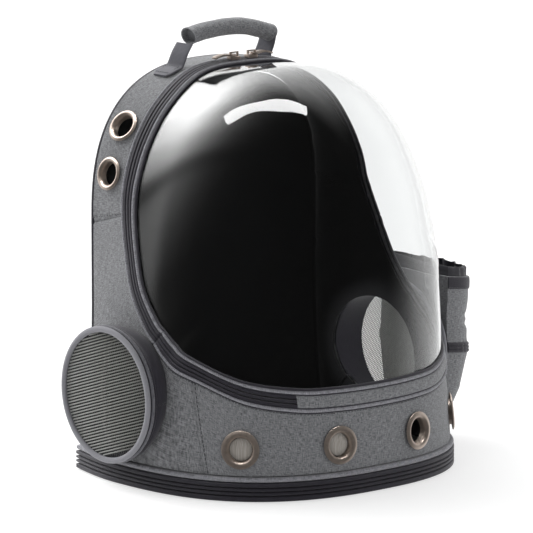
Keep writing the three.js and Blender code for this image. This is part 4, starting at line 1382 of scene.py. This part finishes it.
def ribbon_piece(name, path, sideways, thick, widths):
    """A flat strap along a path, with rounded edges."""
    path = np.asarray(path, float)
    run = unit(np.gradient(path, axis=0))
    side = np.asarray(sideways, float)
    reach = reach_along(path)
    section = []
    for a in np.linspace(0, math.tau, 28, endpoint=False):
        across = math.copysign(abs(math.cos(a)) ** 0.35, math.cos(a))
        section.append((across, math.copysign(abs(math.sin(a)) ** 0.5, math.sin(a))))
    rings = []
    uvs = []
    for p, r, w, s in zip(path, run, np.broadcast_to(widths, len(path)), reach):
        up = np.cross(r, side)
        up = up / np.linalg.norm(up) * thick / 2
        rings.append([p + side * w / 2 * a + up * b for a, b in section])
        uvs += [(s, a * w / 2) for a, _ in section]
    return loft_piece(name, rings, uvs=uvs)


def smooth_path(posts, count):
    """A smooth line through a few posts."""
    posts = np.asarray(posts, float)
    padded = np.concatenate([[2 * posts[0] - posts[1]], posts, [2 * posts[-1] - posts[-2]]])
    line = []
    for t in np.linspace(0, len(posts) - 1.0001, count):
        i = int(t)
        u = t - i
        a, b, c, d = padded[i : i + 4]
        curve = (2 * a - 5 * b + 4 * c - d) * u**2 + (3 * b - a - 3 * c + d) * u**3
        line.append(0.5 * (2 * b + (c - a) * u + curve))
    return np.array(line)


def band_top(x):
    """The band's height at a half width, on the line of the handle."""
    miss = (wall_points[:, 0] - x) ** 2 + (back_y - wall_points[:, 1] - handle_depth) ** 2
    near = np.argmin(miss + np.where(wall_points[:, 2] < arch_spring, 1e9, 0))
    return wall_points[near, 2]


webbing = ribbon_tape("grey_webbing", "#77777D", "#55555B", rib=1.4, roughness=0.8)
for name, side in (("left", -1), ("right", 1)):
    lift = handle_thick / 2 + 0.5
    feet = [
        (side * x, back_y - handle_depth, band_top(side * x) + lift)
        for x in (foot_end, foot_end - 8, foot_end - 16, riser_at + 3)
    ]
    rise = feet[-1][2]
    feet[-1] = (side * (riser_at + 2.5), back_y - handle_depth, rise + 1.2)
    bend = (side * (riser_at + 2), back_y - handle_depth - grip_lean * 0.5, (rise + grip_end) / 2 + 1)
    top = (side * (grip_half - 2), back_y - handle_depth - grip_lean * 0.95, grip_end - 1)
    path = smooth_path([*feet, bend, top], 40)
    widths = handle_width * np.interp(np.arange(40), [0, 5, 39], [0.72, 1.04, 0.94])
    web = ribbon_piece(f"handle_webbing_{name}", path, (0, 1, 0), handle_thick, widths)
    dress(web, webbing, [f"handle_web_{name}"])

# The grip's left end stops short of the riser and hangs less, as it does in use.
grip_sides = 40
grip_from = -0.9
left_sag = grip_sag * 0.62
grip_seam_at = 4.2
grip_seam_depth = 0.07


def grip_ring(share, size):
    """A ring of the grip at a share of its half length, its cross-section scaled by size."""
    sag = grip_sag if share > 0 else left_sag
    centre = np.array(
        (share * grip_half * 0.99, back_y - handle_depth - grip_lean, grip_middle - sag * share**2)
    )
    slope = unit(np.array((grip_half, 0, -2 * share * sag)))
    up = np.array((-slope[2], 0, slope[0]))
    ring = []
    for k in range(grip_sides):
        angle = (k + 0.5) / grip_sides * math.tau
        sunk = grip_seam_depth * math.exp(-(((angle - grip_seam_at) / 0.11) ** 2))
        place = Vector((share * 3.4, math.cos(angle) * 1.3, math.sin(angle) * 1.3))
        full = (1 + 0.045 * noise.noise(place) - sunk) * size
        depth_way = math.cos(angle) * grip_width / 2 * full
        up_way = math.sin(angle) * grip_thick / 2 * full
        ring.append(centre + np.array((0, 1, 0)) * depth_way + up * up_way)
    return ring


grip_rings = []
grip_uvs = []
for share in np.linspace(grip_from, 1, 61):
    from_end = min(share - grip_from, 1 - share) * grip_half
    cuff = 0.93 + 0.05 * math.exp(-from_end / 5) - 0.04 * math.exp(-(((from_end - 6) / 1.4) ** 2))
    cuff -= 0.05 * math.exp(-(((1 - share) * grip_half - 14) / 1.2) ** 2)
    grip_rings.append(grip_ring(share, cuff))
    grip_uvs += [(share * grip_half, k / grip_sides * math.pi * grip_thick) for k in range(grip_sides)]
# The ends are open cuffs: the cloth turns in, and the webbing comes out of the dark inside. Each
# step has a depth into the cuff and the size there.
mouth_steps = [(0, 0.86), (2, 0.82), (7, 0.8)]
mouths = []
for end, inward in ((grip_from, 1), (1, -1)):
    mouths.append([grip_ring(end + inward * deep / grip_half, size) for deep, size in mouth_steps])
grip_rings = mouths[0][::-1] + grip_rings + mouths[1]
mouth_points = grip_sides * len(mouth_steps)
grip_uvs = grip_uvs[:mouth_points] + grip_uvs + grip_uvs[-mouth_points:]
grip_ends = [np.mean(grip_rings[0], 0), np.mean(grip_rings[-1], 0)]
grip = loft_piece("handle_grip_cloth", grip_rings, uvs=grip_uvs, tips=grip_ends)
dress(grip, heather, ["handle_grip"])


# The zip sliders and their pulls: cast zinc plated like the eyelets. Each slider rides on the coil
# at the top, and its pull hangs on the bridge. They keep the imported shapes, with worn edges.
def softened(node, name, edge):
    """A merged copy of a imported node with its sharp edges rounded."""
    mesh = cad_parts[node].data.copy()
    shape = bmesh.new()
    shape.from_mesh(mesh)
    bmesh.ops.remove_doubles(shape, verts=shape.verts, dist=1e-6)
    bmesh.ops.dissolve_limit(shape, angle_limit=math.radians(2), verts=shape.verts, edges=shape.edges)
    bmesh.ops.recalc_face_normals(shape, faces=shape.faces)
    shape.to_mesh(mesh)
    shape.free()
    mesh.materials.clear()
    piece = bpy.data.objects.new(name, mesh)
    bpy.context.scene.collection.objects.link(piece)
    rounding = piece.modifiers.new("rounding", "BEVEL")
    rounding.width = edge * MM
    rounding.segments = 2
    rounding.limit_method = "ANGLE"
    rounding.angle_limit = math.radians(35)
    settle(piece)
    piece.data.shade_smooth()
    piece.data.set_sharp_from_angle(angle=math.radians(50))
    return piece


for side in ("left", "right"):
    slider = softened(f"zip_slider_{side}", f"slider_{side}_metal", 0.3)
    dress(slider, gunmetal, [f"zip_slider_{side}"])
    pull = softened(f"zip_pull_{side}", f"pull_{side}_metal", 0.28)
    dress(pull, gunmetal, [f"zip_pull_{side}"], body=f"pull_{side}")


# The shoulder straps: foam in the grey cloth, bound with dark tape, sewn to the back under a webbing
# yoke. Webbing runs from a moulded ladder lock on each to an anchor patch at the foot of the back.
strap_width = 58
strap_thick = 11
strap_top, strap_bottom = 350, 140
strap_top_at, strap_bottom_at = 44, 78
strap_bow = 22
strap_length = 215
web_thick = 1.8
strap_ends = np.linspace(0, 0.03, 5)
strap_shares = np.concatenate([strap_ends, np.linspace(0.05, 0.95, 55), 1 - strap_ends[::-1]])


def strap_centre(side, share):
    """The strap's middle line, held off the back in a bow."""
    bow = max(0, math.sin(share * math.pi)) ** 0.8 * strap_bow
    x = side * (strap_top_at + (strap_bottom_at - strap_top_at) * share**1.3)
    seat = gap + web_thick + gap + strap_thick / 2
    return np.array((x, back_y + seat + bow, strap_top + (strap_bottom - strap_top) * share))


def strap_frame(side, share):
    """A place on the middle line, its sideways and outward directions, and the half width there."""
    low, high = max(0, share - 0.02), min(1, share + 0.02)
    run = unit(strap_centre(side, high) - strap_centre(side, low))
    across = unit(np.array((1.0, 0, 0)) - run * run[0])
    half = strap_width / 2 * (1 if share < 0.85 else 1 - 0.4 * (share - 0.85) / 0.15)
    end = min(1, min(share, 1 - share) * 30)
    half = half - 2.5 * (1 - math.sqrt(1 - (1 - end) ** 2))
    return strap_centre(side, share), across, np.cross(run, across), half


def strap_channel(across, share):
    """Depth of the sewn line inside the binding, and of the quilting bars."""
    edge = math.exp(-(((abs(across) - 0.8) / 0.05) ** 2))
    bars = abs((share * 7 + 0.5) % 1 - 0.5)
    return 0.9 * edge + 1.3 * math.exp(-((bars / 0.03) ** 2)) * (abs(across) < 0.78)


def strap_section():
    """Shares across and through the strap, round its section."""
    over = [(a, math.sqrt(max(0, 1 - abs(a) ** 5))) for a in np.linspace(-1, 1, 33)]
    under = [(a, -b) for a, b in over[1:-1][::-1]]
    return over + under


for name, side in (("left", -1), ("right", 1)):
    rings, uvs, edge_left, edge_right = [], [], [], []
    for share in strap_shares:
        centre, across, up, half = strap_frame(side, share)
        end = min(1, min(share, 1 - share) * 24 + 0.35)
        for a, b in strap_section():
            thick = strap_thick / 2 * end * abs(b) - strap_channel(a, share) * abs(b)
            rings.append(centre + across * a * (half - 0.6) + up * math.copysign(thick, b))
            uvs.append((a * half, share * strap_length))
        edge_left.append(centre - across * (half - 0.9))
        edge_right.append(centre + across * (half - 0.9))
    rings = np.array(rings).reshape(len(strap_shares), -1, 3)
    ends = [rings[0].mean(0), rings[-1].mean(0)]
    strap = loft_piece(f"strap_pad_{name}", rings, uvs=uvs, tips=ends)
    dress(strap, heather, [f"strap_{name}"])
    outline = np.array(edge_left + edge_right[::-1])
    outline = np.concatenate([outline, outline[:1]])
    binding = tube_piece(f"strap_binding_{name}", outline, 1.3, 12, wide=2.6)
    dress(binding, dark_zip)

yoke_width = 2 * strap_top_at + strap_width
yoke_height = 30
yoke_at = strap_top + yoke_height * 0.3
patch_y = back_y + gap + web_thick / 2


def flat_patch(name, centre, width, height):
    """Webbing sewn flat on the back."""
    x, z = centre
    path = [(x + width * s, patch_y, z) for s in np.linspace(-0.5, 0.5, 24)]
    return ribbon_piece(name, path, (0, 0, 1), web_thick, height)


strap_webbing = ribbon_tape("dark_webbing", "#4B4953", "#2B2930", rib=1.8, roughness=0.75)
yoke = flat_patch("strap_yoke_webbing", (0, yoke_at), yoke_width, yoke_height)
dress(yoke, strap_webbing, ["strap_yoke"])

# Ladder locks: moulded acetal, black, slightly glossy, with the fine grain of a sparked mould.
acetal, acetal_tree, acetal_shader = start_material("moulded_acetal", 0.42, Base_Color=linear("#19191B"))
acetal_place = add_node(acetal_tree, "ShaderNodeTexCoord", {}, {}).outputs["Object"]
acetal_grain = add_node(
    acetal_tree, "ShaderNodeTexNoise", {}, {"Vector": acetal_place, "Scale": 1800.0, "Detail": 2.0}
)
acetal_tone = add_node(
    acetal_tree,
    "ShaderNodeMix",
    {"data_type": "RGBA"},
    {FACTOR: acetal_grain.outputs[0], FIRST: linear("#151517"), SECOND: linear("#232326")},
)
acetal_bump = add_node(
    acetal_tree,
    "ShaderNodeBump",
    {},
    {"Strength": 0.2, "Distance": 0.0001, "Height": acetal_grain.outputs[0]},
)
acetal_tree.links.new(acetal_tone.outputs[RESULT], acetal_shader.inputs["Base Color"])
acetal_tree.links.new(acetal_bump.outputs[0], acetal_shader.inputs["Normal"])

buckle_length = 30
web_width = 25
web_end_at = base_half_width - 36
web_end_height = 46
anchor_width = 37
anchor_height = 30
anchor_from = 50
anchor_at = web_end_at - 2
for name, side in (("left", -1), ("right", 1)):
    buckle = softened(f"strap_buckle_{name}", f"ladder_lock_{name}", 1.1)
    dress(buckle, acetal, [f"strap_buckle_{name}"])
    drop = (strap_thick + buckle_length) / 2 + gap
    start = strap_centre(side, 1) + (side * 3, 0, -drop - buckle_length / 2 - gap - web_thick / 2)
    end = np.array((side * web_end_at, back_y + gap + web_thick * 1.5 + gap, web_end_height))
    line = np.linspace(start, end, 30)
    line[:, 1] += 0.5 * np.sin(np.linspace(0, math.pi, 30))
    web = ribbon_piece(f"strap_webbing_{name}", line, (1, 0, 0), web_thick, web_width)
    dress(web, strap_webbing, [f"strap_web_{name}"])
    centre = (side * anchor_at, anchor_from)
    patch = flat_patch(f"strap_anchor_patch_{name}", centre, anchor_width, anchor_height)
    dress(patch, strap_webbing, [f"strap_anchor_{name}"])


# The seams: polyester thread in lock stitch, 3 to 4 mm a stitch, made by one node tree along plain
# lines on the cloth. Dark thread joins the panels, and grey thread holds tape and webbing.
stitch_tree, stitch_keys, stitch_in, stitch_out = new_tree("lock_stitch", ["Pitch", "Length", "Thread"])
stitch_line = add_node(
    stitch_tree, "GeometryNodeMeshToCurve", {}, {"Mesh": stitch_in.outputs["Geometry"]}
)
stitch_spots = add_node(
    stitch_tree,
    "GeometryNodeCurveToPoints",
    {"mode": "LENGTH"},
    {"Curve": stitch_line.outputs[0], "Length": stitch_in.outputs["Pitch"]},
)
stitch_bar = add_node(
    stitch_tree, "GeometryNodeMeshIcoSphere", {}, {"Radius": 0.5, "Subdivisions": 2}
)
stitch_size = add_node(
    stitch_tree,
    "ShaderNodeCombineXYZ",
    {},
    {
        "X": stitch_in.outputs["Thread"],
        "Y": stitch_in.outputs["Thread"],
        "Z": stitch_in.outputs["Length"],
    },
)
stitch_all = add_node(
    stitch_tree,
    "GeometryNodeInstanceOnPoints",
    {},
    {
        "Points": stitch_spots.outputs["Points"],
        "Instance": stitch_bar.outputs["Mesh"],
        "Rotation": stitch_spots.outputs["Rotation"],
        "Scale": stitch_size.outputs[0],
    },
)
stitch_real = add_node(
    stitch_tree, "GeometryNodeRealizeInstances", {}, {"Geometry": stitch_all.outputs[0]}
)
stitch_finish = add_node(
    stitch_tree,
    "GeometryNodeSetMaterial",
    {},
    {"Geometry": stitch_real.outputs[0], "Material": stitch_in.outputs["Finish"]},
)
stitch_tree.links.new(stitch_finish.outputs[0], stitch_out.inputs[0])

dark_thread = ribbon_tape("dark_thread", "#2E2D33", "#19191C", rib=0.6, roughness=0.6, source="Object")
grey_thread = ribbon_tape("grey_thread", "#6C6C72", "#47474C", rib=0.6, roughness=0.6, source="Object")


def seam(name, lines, thread, finish, pitch=4.0, length=3.1):
    """Rows of stitches along lines of points in millimetres."""
    points = []
    edges = []
    for line in lines:
        first = len(points)
        points += [tuple(np.asarray(p) * MM) for p in line]
        edges += [(i, i + 1) for i in range(first, len(points) - 1)]
    mesh = bpy.data.meshes.new(name)
    mesh.from_pydata(points, edges, [])
    sizes = {"Pitch": pitch * MM, "Length": length * MM, "Thread": thread * MM, "Finish": finish}
    stitches = grown(name, stitch_tree, stitch_keys, sizes, mesh)
    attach(stitches, "carrier")


def down_line(c, lift=0.1):
    """A line down the cloth at a row number, just inside the panel's seam."""
    columns = Columns([c])
    length = columns.length[0]
    return [columns.place(run, lift)[0] for run in np.linspace(rim_width + 2, length - 2, 60)]


def rim_line(start, end, run, lift):
    columns = Columns(smooth_rows(start, end, 12))
    return list(columns.place(run, lift))


panel_lines = [down_line(side * c) for side in (-1, 1) for c in (front_seam + 0.06, band_seam - 0.04)]
seam("panel_stitches", panel_lines, 0.7, dark_thread, pitch=4.2, length=3.4)
# The rim's dark stitch row is a real seam, and its dark thread also paints the shade of the groove beside the
# outer cord.
rim_edge = [rim_line(0, loop_rows, rim_width + 1.7, -0.1)]
seam("rim_stitches_and_groove_shade", rim_edge, 0.6, dark_thread, pitch=3.4, length=2.9)

foot_lines = []
for side in (-1, 1):
    corners = ((foot_end - 3, -8), (foot_end - 3, 8), (foot_end - 17, 9.5), (foot_end - 17, -9.5))
    line = []
    for (x, y), (x2, y2) in zip(corners, corners[1:] + corners[:1]):
        for s in np.linspace(0, 1, 8):
            px = side * (x + (x2 - x) * s)
            line.append((px, back_y - handle_depth + y + (y2 - y) * s, band_top(px) + 3.0))
    foot_lines.append(line)
seam("handle_stitches", foot_lines, 0.6, dark_thread, pitch=3.2, length=2.4)


def box_cross(x, z, width, height):
    """The box and cross sewn through webbing."""
    corners = [(-1, -1), (1, -1), (1, 1), (-1, 1), (-1, -1), (1, 1), (1, -1), (-1, 1)]
    lift = patch_y + web_thick / 2
    return [(x + a * width / 2, lift, z + b * height / 2) for a, b in corners]


patches = [box_cross(side * strap_top_at, yoke_at, strap_width - 8, yoke_height - 8) for side in (-1, 1)]
patches += [
    box_cross(side * anchor_at, anchor_from, anchor_width - 8, anchor_height - 8) for side in (-1, 1)
]
strap_lines = []
for side in (-1, 1):
    for edge in (-0.8, 0.8):
        line = []
        for share in np.linspace(0.04, 0.96, 60):
            centre, across, up, half = strap_frame(side, share)
            out = up if up[1] > 0 else -up
            line.append(centre + across * edge * half + out * (strap_thick / 2 - 1.3))
        strap_lines.append(line)
seam("strap_stitches", patches + strap_lines, 0.7, grey_thread, pitch=3.6, length=2.8)

pocket_rim_line = pocket_loop(pocket_top - 10.6, -gap - 1.0)[4:-4]
seam("pocket_stitches", [pocket_rim_line], 0.6, grey_thread, pitch=3.6, length=2.8)


# The studio: a white sweep under the carrier, a bright wall and a high light behind it, three soft
# boxes in front and a strip above, as in a shop's product picture. The floor lies just under the
# base, and glows a little so that it stays white in the carrier's shadow.
floor_size = 30
floor_mesh = bpy.data.meshes.new("floor")
floor_corners = [(-1, -1), (1, -1), (1, 1), (-1, 1)]
floor_points = [(x * floor_size, y * floor_size, -0.0005) for x, y in floor_corners]
floor_mesh.from_pydata(floor_points, [], [(0, 1, 2, 3)])
floor = bpy.data.objects.new("floor", floor_mesh)
bpy.context.scene.collection.objects.link(floor)
floor_paint = start_material(
    "white_sweep",
    0.9,
    Base_Color=linear("#AAAAAA"),
    Emission_Strength=0.62,
    Emission_Color=linear("#FFFFFF"),
)[0]
floor.data.materials.append(floor_paint)
floor.visible_glossy = False
floor.visible_transmission = False

world = bpy.data.worlds.new("studio")
bpy.context.scene.world = world
world.use_nodes = True
world_tree = world.node_tree
sky = world_tree.nodes["Background"]
world_way = add_node(world_tree, "ShaderNodeTexCoord", {}, {}).outputs["Generated"]
world_side = add_node(
    world_tree,
    "ShaderNodeVectorMath",
    {"operation": "DOT_PRODUCT"},
    {0: world_way, 1: tuple(view_forward)},
)
# The white wall behind the carrier fades to a dark room behind the photographer.
room_level = 0.035
wall_level = 1.1
wall_light = add_node(
    world_tree,
    "ShaderNodeMapRange",
    {"interpolation_type": "SMOOTHSTEP"},
    {
        "Value": world_side.outputs["Value"],
        "From Min": -0.05,
        "From Max": 0.5,
        "To Min": room_level,
        "To Max": wall_level,
    },
)
# A large soft light hangs high behind the carrier, and fades evenly away from its middle.
back_way = Vector((-0.15, 0.72, 0.677))
back_narrow = 9.0
back_level = 7.0
back_side = add_node(
    world_tree, "ShaderNodeVectorMath", {"operation": "DOT_PRODUCT"}, {0: world_way, 1: tuple(back_way)}
)
back_fade = add_node(
    world_tree,
    "ShaderNodeMath",
    {"operation": "MULTIPLY_ADD"},
    {0: back_side.outputs["Value"], 1: back_narrow, 2: -back_narrow},
)
back_curve = add_node(world_tree, "ShaderNodeMath", {"operation": "EXPONENT"}, {0: back_fade.outputs[0]})
back_light = add_node(
    world_tree, "ShaderNodeMath", {"operation": "MULTIPLY"}, {0: back_curve.outputs[0], 1: back_level}
)
world_level = add_node(
    world_tree,
    "ShaderNodeMath",
    {"operation": "ADD"},
    {0: wall_light.outputs[0], 1: back_light.outputs[0]},
)
world_tree.links.new(world_level.outputs[0], sky.inputs["Strength"])
sky.inputs["Color"].default_value = (1, 1, 1, 1)


def soft_box(name, place, width, height, power):
    """A rectangular studio light that faces the carrier and shows in no reflection."""
    data = bpy.data.lights.new(name, "AREA")
    data.shape = "RECTANGLE"
    data.size = width
    data.size_y = height
    data.energy = power
    light = bpy.data.objects.new(name, data)
    light.location = place
    light.rotation_euler = (carrier_middle - Vector(place)).to_track_quat("-Z", "Y").to_euler()
    light.visible_glossy = False
    light.visible_transmission = False
    light.visible_camera = False
    bpy.context.scene.collection.objects.link(light)


carrier_middle = Vector((0, 0, 0.2))
soft_box("key_left", (-2.6, -1.2, 1.4), 1.2, 2.0, 12)
soft_box("front_fill", (0.6, -3.6, 1.8), 2.4, 2.4, 34)
soft_box("right_fill", (3.0, -1.0, 1.4), 1.6, 2.0, 26)
# The strip light straight above shows as a curved bar on the dome. It adds no light to the cloth.
strip_height = 2.0
strip_level = 18
strip = bpy.data.lights.new("strip", "AREA")
strip.shape = "RECTANGLE"
strip.size = 1.2 * strip_height
strip.size_y = 0.22 * strip_height
strip.energy = strip_level * math.pi * strip.size * strip.size_y
strip_light = bpy.data.objects.new("strip", strip)
strip_light.location = (0.026, -0.038, 0.37 + strip_height)
strip_light.rotation_euler = (0, 0, math.radians(-30))
strip_light.visible_diffuse = False
strip_light.visible_transmission = False
strip_light.visible_camera = False
bpy.context.scene.collection.objects.link(strip_light)
# A narrow spot inside the cabin shines through the right window on the pocket's cloth.
spot = bpy.data.lights.new("cabin_spot", "SPOT")
spot.energy = 1.6
spot.spot_size = math.radians(44)
spot.spot_blend = 0.3
spot.shadow_soft_size = 0.01
spot_light = bpy.data.objects.new("cabin_spot", spot)
spot_light.location = (-0.02, 0.02, 0.10)
spot_light.rotation_euler = Vector((1, 0.13, -0.04)).to_track_quat("-Z", "Y").to_euler()
spot_light.visible_glossy = False
bpy.context.scene.collection.objects.link(spot_light)
bpy.context.scene.view_settings.view_transform = "Standard"
